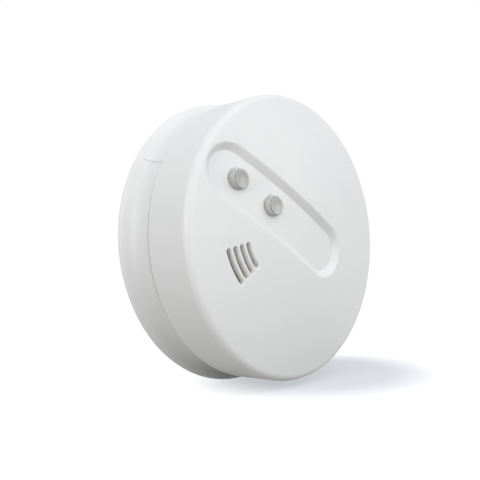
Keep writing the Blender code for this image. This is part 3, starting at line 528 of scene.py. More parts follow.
def lowered(ring):
    """Ring of the inner skin, lowered where the recess comes near the skirt."""
    return [(x, y, z - under_recess(x, y)) for x, y, z in ring]


reach_in = [reach(station, INNER_CIRCLE) for station in stations]
reach_out = [reach(station, FACE_CIRCLE) for station in stations]
rear_outer = COVER_RADIUS - REAR_ROUND
rear_inner = COVER_RADIUS - COVER_WALL + REAR_ROUND
face_angle = math.acos((FACE_CIRCLE - EDGE_CENTRE) / EDGE_ROUND)
inner_angle = math.acos((INNER_CIRCLE - EDGE_CENTRE) / (EDGE_ROUND - COVER_WALL))

rings = [skin_ring([share * r for r in reach_in], inner_height) for share in INNER_SHARES]
inner_edge = edge_rings(COVER_WALL, [inner_angle * share for share in (0.75, 0.5, 0.25)])
inner_skirt = skirt_rings(COVER_RADIUS - COVER_WALL, 6)[::-1]
rings += [lowered(ring) for ring in inner_edge + inner_skirt[:1]] + inner_skirt[1:]
rings += [round_ring(rear_inner, COVER_REAR), round_ring(rear_outer, COVER_REAR)]
rings += [round_ring(rear_outer + 0.7 * REAR_ROUND, COVER_REAR + 0.3 * REAR_ROUND)]
rings += skirt_rings(COVER_RADIUS, 10)
rings += edge_rings(0, [face_angle * share for share in (0.2, 0.4, 0.6, 0.8)])
rings += [skin_ring([TRACK_EDGE + (r - TRACK_EDGE) * share for r in reach_out], face_height)
          for share in FACE_SHARES]
rings += [skin_ring([row * MM] * len(stations), face_height) for row in TRACK_ROWS]
print(len(rings), "rings")


# %% The cover's shell
def loft(name, rings):
    """Closed skin: a circle of vertices, laid on the first ring and extruded onto each of the others."""
    bpy.ops.object.select_all(action='DESELECT')
    bpy.ops.mesh.primitive_circle_add(vertices=len(rings[0]), radius=COVER_RADIUS)
    obj = named(name)
    runner = obj.data.attributes.new("runner", 'INT', 'POINT')
    runner.data.foreach_set("value", range(len(rings[0])))
    edit_all()
    for number, ring in enumerate(rings):
        if number:
            bpy.ops.mesh.extrude_region_move()
        bm = bmesh.from_edit_mesh(obj.data)
        order = bm.verts.layers.int["runner"]
        for vertex in bm.verts:
            if vertex.select:
                vertex.co = ring[vertex[order]]
        bmesh.update_edit_mesh(obj.data)
    close_up()
    obj.data.attributes.remove(obj.data.attributes["runner"])
    return obj


cover = loft("cover_shell", rings)
print("shell", len(cover.data.polygons), "faces")

# %% [markdown]
# ## The domed cover: bosses inside
# Three screw bosses stand inside the shell and a short collar leads the sounder's noise to the slots. They
# are plain round pieces, so circles are extruded, raised into the wall and joined to it with a Boolean, as
# they grow out of the wall in one moulding. Their places are read from the screws and the sounder that
# they belong to.

# %% Bosses and collar
BOSS_RADIUS = 3.2 * MM
PILOT_RADIUS = 1.65 * MM
PILOT_END = 17.8 * MM
BOSS_FOOT = 7.1 * MM
COLLAR_FOOT = 30.4 * MM
COLLAR_WALL = 1.2 * MM
EMBED = 0.8 * MM


def axis_of(node):
    """Middle of a solid seen from the front, in the frame where the detector lies on its back."""
    low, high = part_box(node)
    return Vector(((low.x + high.x) / 2, (low.z + high.z) / 2))


def in_recess_frame(place):
    """The same place in the frame of the recess."""
    cos, sin = math.cos(-RECESS_TURN), math.sin(-RECESS_TURN)
    return cos * place.x - sin * place.y, sin * place.x + cos * place.y


def grow_to_skin(obj):
    """Raise the top of a standing solid into the cover's wall."""
    heights = [vertex.co.z for vertex in obj.data.vertices]
    middle = (min(heights) + max(heights)) / 2
    for vertex in obj.data.vertices:
        if vertex.co.z > middle:
            vertex.co.z = inner_height(vertex.co.x, vertex.co.y) + EMBED


for i in (1, 2, 3):
    screw_place = in_recess_frame(axis_of(f"housing_screw_{i}"))
    boss = plate("boss", circle(screw_place, BOSS_RADIUS, 48), BOSS_FOOT, COVER_FRONT)
    grow_to_skin(boss)
    combine(cover, boss, 'UNION')
    pilot = plate("pilot", circle(screw_place, PILOT_RADIUS, 32), 0, PILOT_END)
    combine(cover, pilot, 'DIFFERENCE')

sounder_low, sounder_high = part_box("sounder_housing")
collar_radius = (sounder_high.x - sounder_low.x) / 2
sounder_place = in_recess_frame(axis_of("sounder_housing"))
collar = plate("collar", circle(sounder_place, collar_radius, 96), COLLAR_FOOT, COVER_FRONT)
bore = plate("bore", circle(sounder_place, collar_radius - COLLAR_WALL, 96), 0, 2 * COVER_FRONT)
combine(collar, bore, 'DIFFERENCE')
grow_to_skin(collar)
combine(cover, collar, 'UNION')
print("cover with bosses", len(cover.data.polygons), "faces")

# %% [markdown]
# ## The domed cover: holes with a soft rim
# Two round holes let the caps through, and four curved slots let the sound out. A Boolean cut alone
# leaves a knife edge, and a bevel often fails on such a cut. So each hole is first cut a rim too wide;
# then its wall is taken away, and the edge that is left is extruded inward and down along a quarter round,
# and bridged to the inner skin. The way inward is given by the hole's own centre line, which is a point
# for a round hole. The wall is thicker behind the slots, so a pad is joined to it there first.

# %% Holes: their lines and their outlines
SLOT_WIDTH = 1.5 * MM
SLOT_SHIFT = (11.2 * MM, 19.15 * MM)
SLOT_OUTER_MM = 28.15
SLOT_PITCH_MM = 2.57
SLOT_RADII = [(SLOT_OUTER_MM - SLOT_PITCH_MM * i) * MM for i in range(4)]
SLOT_ANGLES = (math.radians(225), math.radians(250.5))

slot_centre = (sounder_place[0] + SLOT_SHIFT[0], sounder_place[1] + SLOT_SHIFT[1])


def hole_line(place):
    """Centre line of a round hole: always its middle."""
    return lambda x, y: place


def slot_line(radius):
    """Centre line of a curved slot: the nearest point of its arc."""
    trim = SLOT_WIDTH / 2 / radius

    def nearest(x, y):
        angle = math.atan2(y - slot_centre[1], x - slot_centre[0]) % (2 * math.pi)
        angle = min(max(angle, SLOT_ANGLES[0] + trim), SLOT_ANGLES[1] - trim)
        return slot_centre[0] + radius * math.cos(angle), slot_centre[1] + radius * math.sin(angle)

    return nearest


def slot_outline(radius, half):
    """Outline of a curved slot with round ends."""
    trim = SLOT_WIDTH / 2 / radius
    start, end = SLOT_ANGLES[0] + trim, SLOT_ANGLES[1] - trim
    first, last = arc(slot_centre, radius, start, end, 1)
    outline = arc(slot_centre, radius + half, start, end, 24)
    outline += arc(last, half, end, end + math.pi, 12)[1:-1]
    outline += arc(slot_centre, radius - half, end, start, 24)
    return outline + arc(first, half, start + math.pi, start + 2 * math.pi, 12)[1:-1]


# %% Pad behind the slots
PAD_FOOT = 33.8 * MM
PAD_EDGE = 2.2 * MM
PAD_TURN = 0.07

pad_ends = (SLOT_ANGLES[0] - PAD_TURN, SLOT_ANGLES[1] + PAD_TURN)
pad_outline = arc(slot_centre, SLOT_RADII[0] + PAD_EDGE, *pad_ends, 16)
pad_outline += arc(slot_centre, SLOT_RADII[-1] - PAD_EDGE, *reversed(pad_ends), 16)
pad = plate("pad", pad_outline, PAD_FOOT, COVER_FRONT)
grow_to_skin(pad)
combine(cover, pad, 'UNION')
print("slots about", [round(c / MM, 2) for c in slot_centre], "mm")


# %% [markdown]
# The walls of the slots are the same white plastic, but their finish is painted light and shade: a pale
# warm tone for light that comes through the thin plastic, turning to a brown painted shade with the depth
# below the face, which is worked out from the shape of the dome.

# %% Slot walls with painted light and shade
# Pale painted light near the face, brown painted shade deeper in the slot.
SLOT_PAINTED_LIGHT = (0.96, 0.94, 0.90)
SLOT_PAINTED_SHADE = (0.22, 0.175, 0.14)
PAINTED_SHADE_FROM, PAINTED_SHADE_TO = 1.9 * MM, 2.3 * MM
SHADE_EDGE_GRAIN = 0.5 * MM
SHADE_EDGE_REACH = 0.4 * MM

slot_plastic, start = new_finish("slot_plastic")
place = place_on(start)
axes = [place.node("ShaderNodeSeparateXYZ", None, {"Vector": place}, output=axis) for axis in "XYZ"]
below_face = COVER_FRONT + axes[1] - (axes[0] * axes[0] + axes[2] * axes[2]) * (0.5 / DOME)
shade_edge_noise = noise(place, SHADE_EDGE_GRAIN, 4.0, 0.6)
# Painted shade: the wall turns brown with depth below the face, with a ragged noisy edge.
dust_and_shade = ramp(below_face + (shade_edge_noise - 0.5) * SHADE_EDGE_REACH, PAINTED_SHADE_FROM, PAINTED_SHADE_TO)
set_finish(slot_plastic, Base_Color=blend(dust_and_shade, SLOT_PAINTED_LIGHT, SLOT_PAINTED_SHADE), Roughness=0.5 + 0.3 * dust_and_shade,
           Subsurface_Weight=1.0, Subsurface_Radius=MILK_COLOURS, Subsurface_Scale=MILK_DEPTH)


# %% Holes: select and move, and the steps of a rim
RIM_STEPS = 7
DISH_STEPS = 8


def choose(obj, test):
    """In edit mode, select just the edges or faces that pass a test. Gives their number."""
    bpy.ops.mesh.select_all(action='DESELECT')
    bm = bmesh.from_edit_mesh(obj.data)
    chosen = test(bm)
    for element in chosen:
        element.select_set(True)
    bmesh.update_edit_mesh(obj.data)
    return len(chosen)


def move_inward(obj, line, inward, down):
    """Move the selected vertices towards a hole's centre line and down into the wall."""
    bm = bmesh.from_edit_mesh(obj.data)
    for vertex in bm.verts:
        if vertex.select:
            x, y = line(vertex.co.x, vertex.co.y)
            away = Vector((vertex.co.x - x, vertex.co.y - y))
            away.normalize()
            vertex.co.x -= away.x * inward
            vertex.co.y -= away.y * inward
            vertex.co.z -= down
    bmesh.update_edit_mesh(obj.data)


def rolled(rim):
    """Steps inward and down of a rim that rolls over a quarter round."""
    angles = [quarter * i / RIM_STEPS for i in range(1, RIM_STEPS + 1)]
    return [(rim * math.sin(a), rim * (1 - math.cos(a))) for a in angles]


def dished(rim, drop):
    """Steps inward and down of a rim that sinks like a shallow dish."""
    shares = [i / DISH_STEPS for i in range(1, DISH_STEPS + 1)]
    return [(rim * s, drop * s * s * (3 - 2 * s)) for s in shares]


print("rims in", RIM_STEPS, "or", DISH_STEPS, "steps")

# %% Holes: cut wide, then lead the rim inward
CUT_DEPTH = 6 * COVER_WALL
HOLE_SLACK = 0.05 * MM
# A face belongs to a hole's wall when its normal rises less than this.
UPRIGHT = 0.3


def open_hole(obj, outline, line, half, steps, finish):
    """Cut a hole of a half width through the shell and lead its upper rim inward along steps."""
    rim = steps[-1][0]
    cutter = plate("cutter", outline, dome(EDGE_CENTRE) - CUT_DEPTH, 2 * COVER_FRONT)
    combine(obj, cutter, 'DIFFERENCE')
    bpy.ops.object.mode_set(mode='EDIT')
    wide = half + rim

    def on_outline(vertex):
        x, y = line(vertex.co.x, vertex.co.y)
        return abs(math.hypot(vertex.co.x - x, vertex.co.y - y) - wide) < HOLE_SLACK

    def above_wall(vertex):
        return vertex.co.z > face_height(vertex.co.x, vertex.co.y) - COVER_WALL / 2

    def edge_at(bm, upper):
        return [edge for edge in bm.edges if edge.is_boundary and all(on_outline(v) for v in edge.verts)
                and all(above_wall(v) == upper for v in edge.verts)]

    bpy.ops.mesh.select_mode(type='FACE')
    choose(obj, lambda bm: [face for face in bm.faces if abs(face.normal.z) < UPRIGHT
                            and all(on_outline(v) for v in face.verts)])
    bpy.ops.mesh.delete(type='FACE')
    bpy.ops.mesh.select_mode(type='EDGE')
    choose(obj, lambda bm: edge_at(bm, False))
    bpy.ops.mesh.extrude_region_move()
    move_inward(obj, line, rim, 0)
    lower = bmesh.from_edit_mesh(obj.data).edges.layers.int.new("lower")
    for edge in bmesh.from_edit_mesh(obj.data).edges:
        edge[lower] = int(edge.select)
    count = choose(obj, lambda bm: edge_at(bm, True))
    before = (0.0, 0.0)
    for now in steps:
        bpy.ops.mesh.extrude_region_move()
        move_inward(obj, line, now[0] - before[0], now[1] - before[1])
        before = now
    bm = bmesh.from_edit_mesh(obj.data)
    layer = bm.edges.layers.int["lower"]
    for edge in bm.edges:
        if edge[layer] and edge.is_boundary:
            edge.select_set(True)
    bmesh.update_edit_mesh(obj.data)
    bpy.ops.mesh.bridge_edge_loops()
    obj.active_material_index = finish
    bpy.ops.object.material_slot_assign()
    bpy.ops.object.mode_set(mode='OBJECT')
    obj.data.attributes.remove(obj.data.attributes["lower"])
    print("hole with", count, "edges round its rim")


# %% Holes of the caps and slots
CAP_HOLE = 3.27 * MM
CAP_RIM = 0.85 * MM
CAP_DROP = 0.35 * MM
SLOT_RIM = 0.48 * MM

cover.data.materials.append(white_plastic)
cover.data.materials.append(slot_plastic)
for node in ("test_button", "signal_lens"):
    middle = in_recess_frame(axis_of(node))
    round_outline = circle(middle, CAP_HOLE + CAP_RIM, 96)
    open_hole(cover, round_outline, hole_line(middle), CAP_HOLE, dished(CAP_RIM, CAP_DROP), 0)
for radius in SLOT_RADII:
    wide_slot = slot_outline(radius, SLOT_WIDTH / 2 + SLOT_RIM)
    open_hole(cover, wide_slot, slot_line(radius), SLOT_WIDTH / 2, rolled(SLOT_RIM), 1)
stand_up(cover, RECESS_TURN)
hand_over(cover, "front_cover", white_plastic, sharp=24)

# %% [markdown]
# ## The mounting base
# The base is screwed to the wall. It is a dish with a low wall round it, and outside that wall a hollow
# curve, a cove, sweeps down and bends into a thin rounded lip. On its upper left quarter the cove is a
# little thicker and higher, which leaves the fine step that the photograph shows. It is a turned shape, so
# its section is drawn and spun; the thicker part is a second section, spun through about a quarter turn
# and joined to it. Its extra thickness fades out towards the lip.

# %% Base: section
COVE_EDGE = 48.6 * MM
COVE_RUN = 4 * MM
COVE_TOP = 10.1 * MM
LIP_INNER = 52.6 * MM
LIP_ROUND = 0.9 * MM
LIP_HEIGHT = 2.4 * MM
BASE_WALL = 1.2 * MM
PLATE_TOP = 2 * MM
SEAT = 0.3 * MM
HOLLOW_SWEEP = math.radians(70)
COVE_START = math.radians(9)
FLANK_SWEEP = math.radians(76)
EDGE_ROLL = 0.85 * MM
TOP_ROUND = 0.25 * MM
LIP_LEAVE = 1 * MM
LIP_ARRIVE = 0.6 * MM


def cove(offset, start, end, count):
    """Points of the hollow curve, moved outward by an offset, from its top edge towards the lip."""
    points = []
    for i in range(count + 1):
        angle = start + (end - start) * i / count
        radius = COVE_EDGE + COVE_RUN * (1 - math.cos(angle)) + offset * math.cos(angle)
        points.append((radius, COVE_TOP + (offset - COVE_TOP + LIP_HEIGHT) * math.sin(angle)))
    return points


def bend(start, leave, arrive, end, count):
    """Points of a curve that leaves its start towards one point and reaches its end from another."""
    points = []
    for i in range(count + 1):
        t = i / count
        shares = ((1 - t) ** 3, 3 * t * (1 - t) ** 2, 3 * t * t * (1 - t), t ** 3)
        corners = [Vector(corner) * share for corner, share in zip((start, leave, arrive, end), shares)]
        points.append(tuple(sum(corners, Vector((0, 0)))))
    return points


print("cove from", round(COVE_TOP / MM, 1), "down to", round(LIP_HEIGHT / MM, 1), "mm")

# %% Base: turned shell
BASE_STEPS = 192

neck = COVE_EDGE - BASE_WALL
flank = cove(0, COVE_START, FLANK_SWEEP, 20)
fall = (LIP_HEIGHT - COVE_TOP) * math.cos(FLANK_SWEEP)
slope = Vector((COVE_RUN * math.sin(FLANK_SWEEP), fall)).normalized()
lip_edge = Vector((LIP_INNER + LIP_ROUND, LIP_HEIGHT / 2))
leave = Vector(flank[-1]) + slope * LIP_LEAVE
arrive = lip_edge + Vector((0, LIP_ARRIVE))
lip_angles = [quarter * i / 7 for i in range(1, 8)]
hollow_start = math.acos((COVE_RUN - SEAT) / (COVE_RUN + BASE_WALL))
hollow = cove(-BASE_WALL, hollow_start, HOLLOW_SWEEP, 6)

base_section = [(0, PLATE_TOP), (neck - SEAT, PLATE_TOP), (neck, PLATE_TOP + SEAT)]
base_section += [(neck, COVE_TOP - TOP_ROUND), (neck + TOP_ROUND, COVE_TOP)]
base_section += arc((COVE_EDGE - EDGE_ROLL, COVE_TOP - EDGE_ROLL), EDGE_ROLL, quarter, 0, 8)
base_section += flank[:-1] + bend(flank[-1], leave, arrive, lip_edge, 12)
base_section += [(LIP_INNER + LIP_ROUND * math.cos(a), LIP_HEIGHT / 2 * (1 - math.sin(a)))
                 for a in lip_angles]
base_section += [(LIP_INNER - BASE_WALL, 0)] + hollow[::-1]
base_section += [(COVE_EDGE, hollow[0][1]), (COVE_EDGE, 0), (0, 0)]
base = turned("base_shell", base_section, BASE_STEPS)
print("base section of", len(base_section), "points")

# %% Base: thicker quarter of the cove
RAISE = 0.3 * MM
RAISE_TURN = (math.radians(60), math.radians(147))
RAISE_SWEEP = math.radians(79)
RAISE_FADE = math.radians(8)
RAISE_END = 0.12
RAISE_ROWS = 24
RAISE_STEPS = 48
RAISE_CREST = COVER_REAR - 0.6 * MM

raised = []
for i in range(RAISE_ROWS + 1):
    angle = RAISE_SWEEP * i / RAISE_ROWS
    rise = RAISE * min(1, RAISE_END + (RAISE_SWEEP - angle) / RAISE_FADE)
    raised += cove(rise, angle, angle, 1)[:1]
buried = cove(-BASE_WALL / 2, 0, RAISE_SWEEP, 6)
thick_section = [(neck + BASE_WALL / 2, RAISE_CREST), (raised[0][0] - TOP_ROUND, RAISE_CREST)]
thick_section += [(raised[0][0], RAISE_CREST - TOP_ROUND)] + raised + buried[::-1]
turn_from, turn_to = RAISE_TURN
thick = draw("thick_cove", [(r * math.cos(turn_from), r * math.sin(turn_from), z) for r, z in thick_section])
bpy.ops.mesh.select_all(action='SELECT')
bpy.ops.mesh.edge_face_add()
bpy.ops.mesh.spin(steps=RAISE_STEPS, angle=turn_to - turn_from, center=(0, 0, 0), axis=(0, 0, -1))
close_up()
print("thick quarter", [round(v / MM, 1) for v in thick.dimensions], "mm")
combine(base, thick, 'UNION')

# %% Base: hooks and wall slots
HOOK_CIRCLE = 38 * MM
HOOK_NECK = 2.4 * MM
HOOK_HEAD = 5.2 * MM
HOOK_HEIGHTS = (7.1 * MM, 8.6 * MM)
HOOK_HALF = math.radians(3.5)
NECK_INSET = HOOK_HALF / 8
HOOK_TURNS = [math.radians(a) for a in (29, 170, 289)]
WALL_SCREWS = ((26 * MM, -16 * MM), (-26 * MM, 16 * MM))
WALL_SLOT = (11 * MM, 4.6 * MM)

for turn in HOOK_TURNS:
    turn_from, turn_to = turn + RECESS_TURN - HOOK_HALF, turn + RECESS_TURN + HOOK_HALF
    neck_outline = sector(HOOK_CIRCLE - HOOK_NECK / 2, HOOK_CIRCLE + HOOK_NECK / 2,
                          turn_from + NECK_INSET, turn_to - NECK_INSET, 8)
    head_outline = sector(HOOK_CIRCLE - HOOK_HEAD / 2, HOOK_CIRCLE + HOOK_HEAD / 2, turn_from, turn_to, 8)
    combine(base, plate("neck", neck_outline, PLATE_TOP / 2, sum(HOOK_HEIGHTS) / 2), 'UNION')
    combine(base, plate("head", head_outline, *HOOK_HEIGHTS), 'UNION')

length, width = WALL_SLOT
for x, y in WALL_SCREWS:
    half = (length - width) / 2
    long_hole = arc((x + half, y), width / 2, -quarter, quarter, 24)
    long_hole += arc((x - half, y), width / 2, quarter, 3 * quarter, 24)
    combine(base, plate("wall_slot", long_hole, -PLATE_TOP, 2 * PLATE_TOP), 'DIFFERENCE')
stand_up(base)
hand_over(base, "mounting_base", white_plastic, sharp=28)

# %% [markdown]
# ## The rear housing
# Behind the cover, the head is closed by a tray with a ring round it and a deep pocket for the battery.
# Its ring shows in the smoke gap, and its underside shows through the slots of the base. It is turned and
# then built up and cut like the real mould: walls of the pocket, posts for the board, channels in which
# the hooks slide.

# %% Rear housing
RING = (45.4 * MM, 46.9 * MM)
RING_HEIGHTS = (2.3 * MM, 18 * MM)
RING_ROUND = 0.3 * MM
TRAY = (5.3 * MM, 6.8 * MM)
POCKET = (51.6 * MM, 27.1 * MM)
POCKET_MIDDLE = 21.375 * MM
POCKET_WALL = 1.2 * MM
POCKET_ROOF = 20.8 * MM
POST_RADIUS = 2.6 * MM
POST_TOP = 12.7 * MM
TWIST = math.radians(18)
HOOK_CLEARANCE = 0.4 * MM
HOUSING_STEPS = 160


def box_outline(length, width, across):
    """Outline of an upright box about a middle that lies across the recess's line."""
    x, y = length / 2, width / 2
    return [(x, across - y), (x, across + y), (-x, across + y), (-x, across - y)]


inner, outer = RING
foot, crest = RING_HEIGHTS
housing_section = [(0, TRAY[1]), (inner, TRAY[1]), (inner, crest - RING_ROUND)]
housing_section += [(inner + RING_ROUND, crest), (outer - RING_ROUND, crest)]
housing_section += [(outer, crest - RING_ROUND), (outer, foot), (inner, foot)]
housing_section += [(inner, TRAY[0]), (0, TRAY[0])]
housing = turned("housing_shell", housing_section, HOUSING_STEPS)

walls = box_outline(POCKET[0] + 2 * POCKET_WALL, POCKET[1] + 2 * POCKET_WALL, POCKET_MIDDLE)
combine(housing, plate("walls", walls, TRAY[0], POCKET_ROOF + POCKET_WALL), 'UNION')
for i in (1, 2, 3):
    post_place = in_recess_frame(axis_of(f"board_screw_{i}"))
    post = plate("post", circle(post_place, POST_RADIUS, 32), sum(TRAY) / 2, POST_TOP)
    combine(housing, post, 'UNION')
    pilot = plate("pilot", circle(post_place, PILOT_RADIUS, 24), TRAY[1], 2 * POST_TOP)
    combine(housing, pilot, 'DIFFERENCE')
    screw_place = in_recess_frame(axis_of(f"housing_screw_{i}"))
    hole = plate("hole", circle(screw_place, PILOT_RADIUS, 24), 0, 2 * TRAY[1])
    combine(housing, hole, 'DIFFERENCE')
combine(housing, plate("pocket", box_outline(*POCKET, POCKET_MIDDLE), -MM, POCKET_ROOF), 'DIFFERENCE')
print("pocket", [round(v / MM, 1) for v in POCKET], "mm")

# %% Rear housing: bayonet channels
channel_cut = (TRAY[0] / 2, TRAY[1] + TRAY[0] / 2)
margin = HOOK_CLEARANCE / HOOK_CIRCLE
reach_angle = HOOK_HALF + margin
narrow = HOOK_NECK / 2 + HOOK_CLEARANCE
wide = HOOK_HEAD / 2 + HOOK_CLEARANCE
for turn in HOOK_TURNS:
    free = turn - TWIST
    channel = sector(HOOK_CIRCLE - narrow, HOOK_CIRCLE + narrow, free - reach_angle, turn + reach_angle, 16)
    window = sector(HOOK_CIRCLE - wide, HOOK_CIRCLE + wide,
                    free - reach_angle - margin, free + reach_angle, 8)
    combine(housing, plate("channel", channel, *channel_cut), 'DIFFERENCE')
    combine(housing, plate("window", window, *channel_cut), 'DIFFERENCE')
stand_up(housing, RECESS_TURN)
hand_over(housing, "rear_housing", tray_plastic, sharp=28)

# %% [markdown]
# ## Milky caps
# The test button and the signal lens are twin caps. The real ones are clear; here a grey, milky plastic
# stands in, because clear plastic would need long renders. Their front is a shallow dish inside a polished
# ring. A flange holds each one under the cover, and a stem reaches down to the switch or the lamp. The cap
# is a turned piece. Clear plastic shows a dark line where it bends light over an edge, and its front looks
# a shade darker than its side. Here that is painted: the dish and the ring get painted shade, and the
# rounded edge a painted dark line, as tones of one milky plastic.

# %% Milky plastic
# Tones of one milky plastic: side, dish and ring with painted shade, and a painted dark line on the edge.
CAP_PAINTED_TONES = [("cap_side", (0.52, 0.525, 0.505)), ("cap_dish", (0.49, 0.495, 0.475)),
             ("cap_ring", (0.51, 0.515, 0.495)), ("cap_edge", (0.16, 0.165, 0.16))]
CAP_DULL = 0.94
CAP_ROUGHNESS = 0.16
CAP_MILK = 0.7

cap_finishes = [moulded(name, tone, tuple(c * CAP_DULL for c in tone), CAP_ROUGHNESS,
                        0.35 * MM, 0.01 * MM, CAP_MILK) for name, tone in CAP_PAINTED_TONES]
clear_plastic = cap_finishes[0]

# %% Caps
CAP_RADIUS = 3.2 * MM
CAP_RISE = 2.15 * MM
CAP_EDGE = 0.2 * MM
CAP_DISH = (2.4 * MM, 0.06 * MM)
CAP_FLANGE = (4.6 * MM, 1 * MM)
CAP_STEM = 2 * MM
CAP_STEPS = 64


def tone_of(face, top):
    """Number of the finish for a face of a cap: side, dish or ring with painted shade, or rounded edge with
    a painted dark line.
    """
    if face.center.z < top - CAP_EDGE:
        return 0
    radius = math.hypot(face.center.x, face.center.y)
    return 1 + (radius > CAP_DISH[0] - CAP_DISH[1]) + (radius > CAP_RADIUS - CAP_EDGE)


def cap(name, node):
    """Cap with a dished front, a rounded edge, a flange and a stem."""
    stem_foot = -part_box(node)[1].y
    middle = axis_of(node)
    top = dome(middle.length) - RECESS_DEPTH + CAP_RISE
    flange_top = dome(middle.length + CAP_FLANGE[0]) - RECESS_DEPTH - COVER_WALL - SEAT
    flange_foot = flange_top - CAP_FLANGE[1]
    dish, sink = CAP_DISH
    section = [(0, top - sink), (dish - 2 * sink, top - sink), (dish, top)]
    section += arc((CAP_RADIUS - CAP_EDGE, top - CAP_EDGE), CAP_EDGE, quarter, 0, 6)
    section += [(CAP_RADIUS, flange_top), (CAP_FLANGE[0], flange_top), (CAP_FLANGE[0], flange_foot)]
    section += [(CAP_STEM, flange_foot), (CAP_STEM, stem_foot), (0, stem_foot)]
    obj = turned(name, section, CAP_STEPS)
    for finish in cap_finishes:
        obj.data.materials.append(finish)
    for face in obj.data.polygons:
        face.material_index = tone_of(face, top)
    pick(obj)
    obj.location = (*middle, 0)
    bpy.ops.object.transform_apply(location=True, rotation=False, scale=False)
    stand_up(obj)
    hand_over(obj, node, clear_plastic, sharp=40)


cap("button_cap", "test_button")
cap("lens_cap", "signal_lens")

# %% [markdown]
# ## What is inside
# The board, the chamber, the sounder and the battery are hidden, but they are there when the head is
# opened, so their solids stay as they are and each gets the finish of its own material.

# %% Black plastic, rubber and ferrite
black_plastic = moulded("black_plastic", (0.016, 0.016, 0.017), (0.022, 0.022, 0.023), 0.42,
                        0.5 * MM, 0.04 * MM)
rubber = moulded("rubber", (0.05, 0.05, 0.05), (0.065, 0.064, 0.062), 0.8, 0.25 * MM, 0.08 * MM)
ferrite = moulded("ferrite", (0.06, 0.055, 0.05), (0.045, 0.042, 0.04), 0.55, 0.3 * MM, 0.06 * MM)
ceramic = moulded("ceramic", (0.62, 0.60, 0.56), (0.56, 0.54, 0.51), 0.5, 0.35 * MM, 0.02 * MM)


# %% Metals
def metal(name, bright, stained, roughness, streak_scale):
    """Plated or rolled metal with drawn streaks and a few stains."""
    material, start = new_finish(name)
    place = place_on(start)
    streak = place.node("ShaderNodeMapping", None, {"Vector": place, "Scale": streak_scale})
    lines = noise(streak, 0.3 * MM, 4.0, 0.7)
    stain = ramp(noise(place, 2.2 * MM, 4.0), 0.5, 0.8)
    return set_finish(material, Base_Color=blend(stain, bright, stained), Metallic=1.0,
                      Roughness=roughness + 0.15 * lines + 0.12 * stain, Normal=bump(lines, 0.01 * MM, 0.5))


steel = metal("steel", (0.60, 0.61, 0.62), (0.47, 0.46, 0.44), 0.24, (1, 1, 8))
brass = metal("brass", (0.76, 0.57, 0.26), (0.60, 0.42, 0.20), 0.26, (8, 1, 1))


# %% Tinted epoxy, battery jacket and shrink sleeve
def epoxy(name, tint):
    """Tinted casting resin with faint flow lines."""
    material, start = new_finish(name)
    place = place_on(start)
    flow = ramp(noise(place, 3 * MM, 2.0), 0.3, 0.7)
    return set_finish(material, Base_Color=blend(flow, tint, tuple(c * 0.8 for c in tint)),
                      Roughness=0.12 + 0.08 * flow, IOR=1.52)


red_lens = epoxy("red_lens", (0.62, 0.03, 0.03))
blue_lens = epoxy("blue_lens", (0.10, 0.12, 0.22))
dark_lens = epoxy("dark_lens", (0.02, 0.015, 0.03))
sleeve = moulded("sleeve", (0.03, 0.04, 0.09), (0.035, 0.045, 0.10), 0.28, 1.2 * MM, 0.03 * MM)
battery_jacket = metal("battery_jacket", (0.09, 0.10, 0.12), (0.07, 0.075, 0.085), 0.32, (1, 8, 1))


# %% Circuit board
def laminate(name, mask, copper, tin):
    """Green solder mask over copper tracks, with tinned pads in a row along some of them."""
    material, start = new_finish(name)
    place = place_on(start)
    flat = place.node("ShaderNodeMapping", None, {"Vector": place, "Rotation": (0, RECESS_TURN, 0)})
    block = flat.node("ShaderNodeVectorMath", {"operation": 'SNAP'},
                      {0: flat, 1: (7.62 * MM, 1.0, 5.08 * MM)})
    pick_way = block.node("ShaderNodeTexWhiteNoise", None, {"Vector": block}, output="Value") > 0.5
    across = flat.node("ShaderNodeSeparateXYZ", None, {"Vector": flat}, output="X")
    along = flat.node("ShaderNodeSeparateXYZ", None, {"Vector": flat}, output="Z")
    pitch = 1.27 * MM
    way = along * pick_way + across * (1 - pick_way)
    other = across * pick_way + along * (1 - pick_way)
    saw = way.node("ShaderNodeMath", {"operation": 'PINGPONG'}, {0: way, 1: pitch / 2}) * (2 / pitch)
    bead = other.node("ShaderNodeMath", {"operation": 'PINGPONG'}, {0: other, 1: pitch}) * (1 / pitch)
    track = 1 - ramp(saw, 0.30, 0.40)
    pad = (1 - ramp(saw, 0.42, 0.5)) * (1 - ramp(bead, 0.16, 0.22))
    cloud = ramp(noise(place, 9 * MM, 3.0), 0.35, 0.65)
    green = blend(track, blend(cloud, mask, tuple(c * 0.85 for c in mask)), copper)
    return set_finish(material, Base_Color=blend(pad, green, tin), Metallic=pad * 0.9,
                      Roughness=0.34 + 0.12 * cloud - 0.1 * pad,
                      Normal=bump(track + pad, 0.035 * MM, 0.8))


board = laminate("board", (0.018, 0.15, 0.065), (0.045, 0.24, 0.09), (0.70, 0.70, 0.68))

# %% Finish of every solid that stays
finishes = {"tray_plastic": tray_plastic, "white_plastic": white_plastic, "clear_plastic": clear_plastic,
            "black_plastic": black_plastic, "board": board, "steel": steel, "brass": brass,
            "ceramic": ceramic, "rubber": rubber, "red_lens": red_lens, "blue_lens": blue_lens,
            "dark_lens": dark_lens, "battery_jacket": battery_jacket, "ferrite": ferrite, "sleeve": sleeve}
for subpart in frame["record"]["subparts"]:
    solid = frame["nodes"][subpart["node"]]
    solid.data.materials.clear()
    solid.data.materials.append(finishes[subpart["material_slot"]])

# %% [markdown]
# ## Floor and light
# The detector stands on its edge on a white table, in a tent of soft white light. A floor that is lit like
# that would show as a pale grey, and more light would burn out the white plastic. So the camera sees a
# glow on top of the lit floor, which makes it white. Beside the detector the glow is weaker in a fixed
# round patch: a painted shadow that deepens the floor's own shade. Bounced light meets a grey floor
# without the glow, as the table in the photograph throws little light up at the underside.

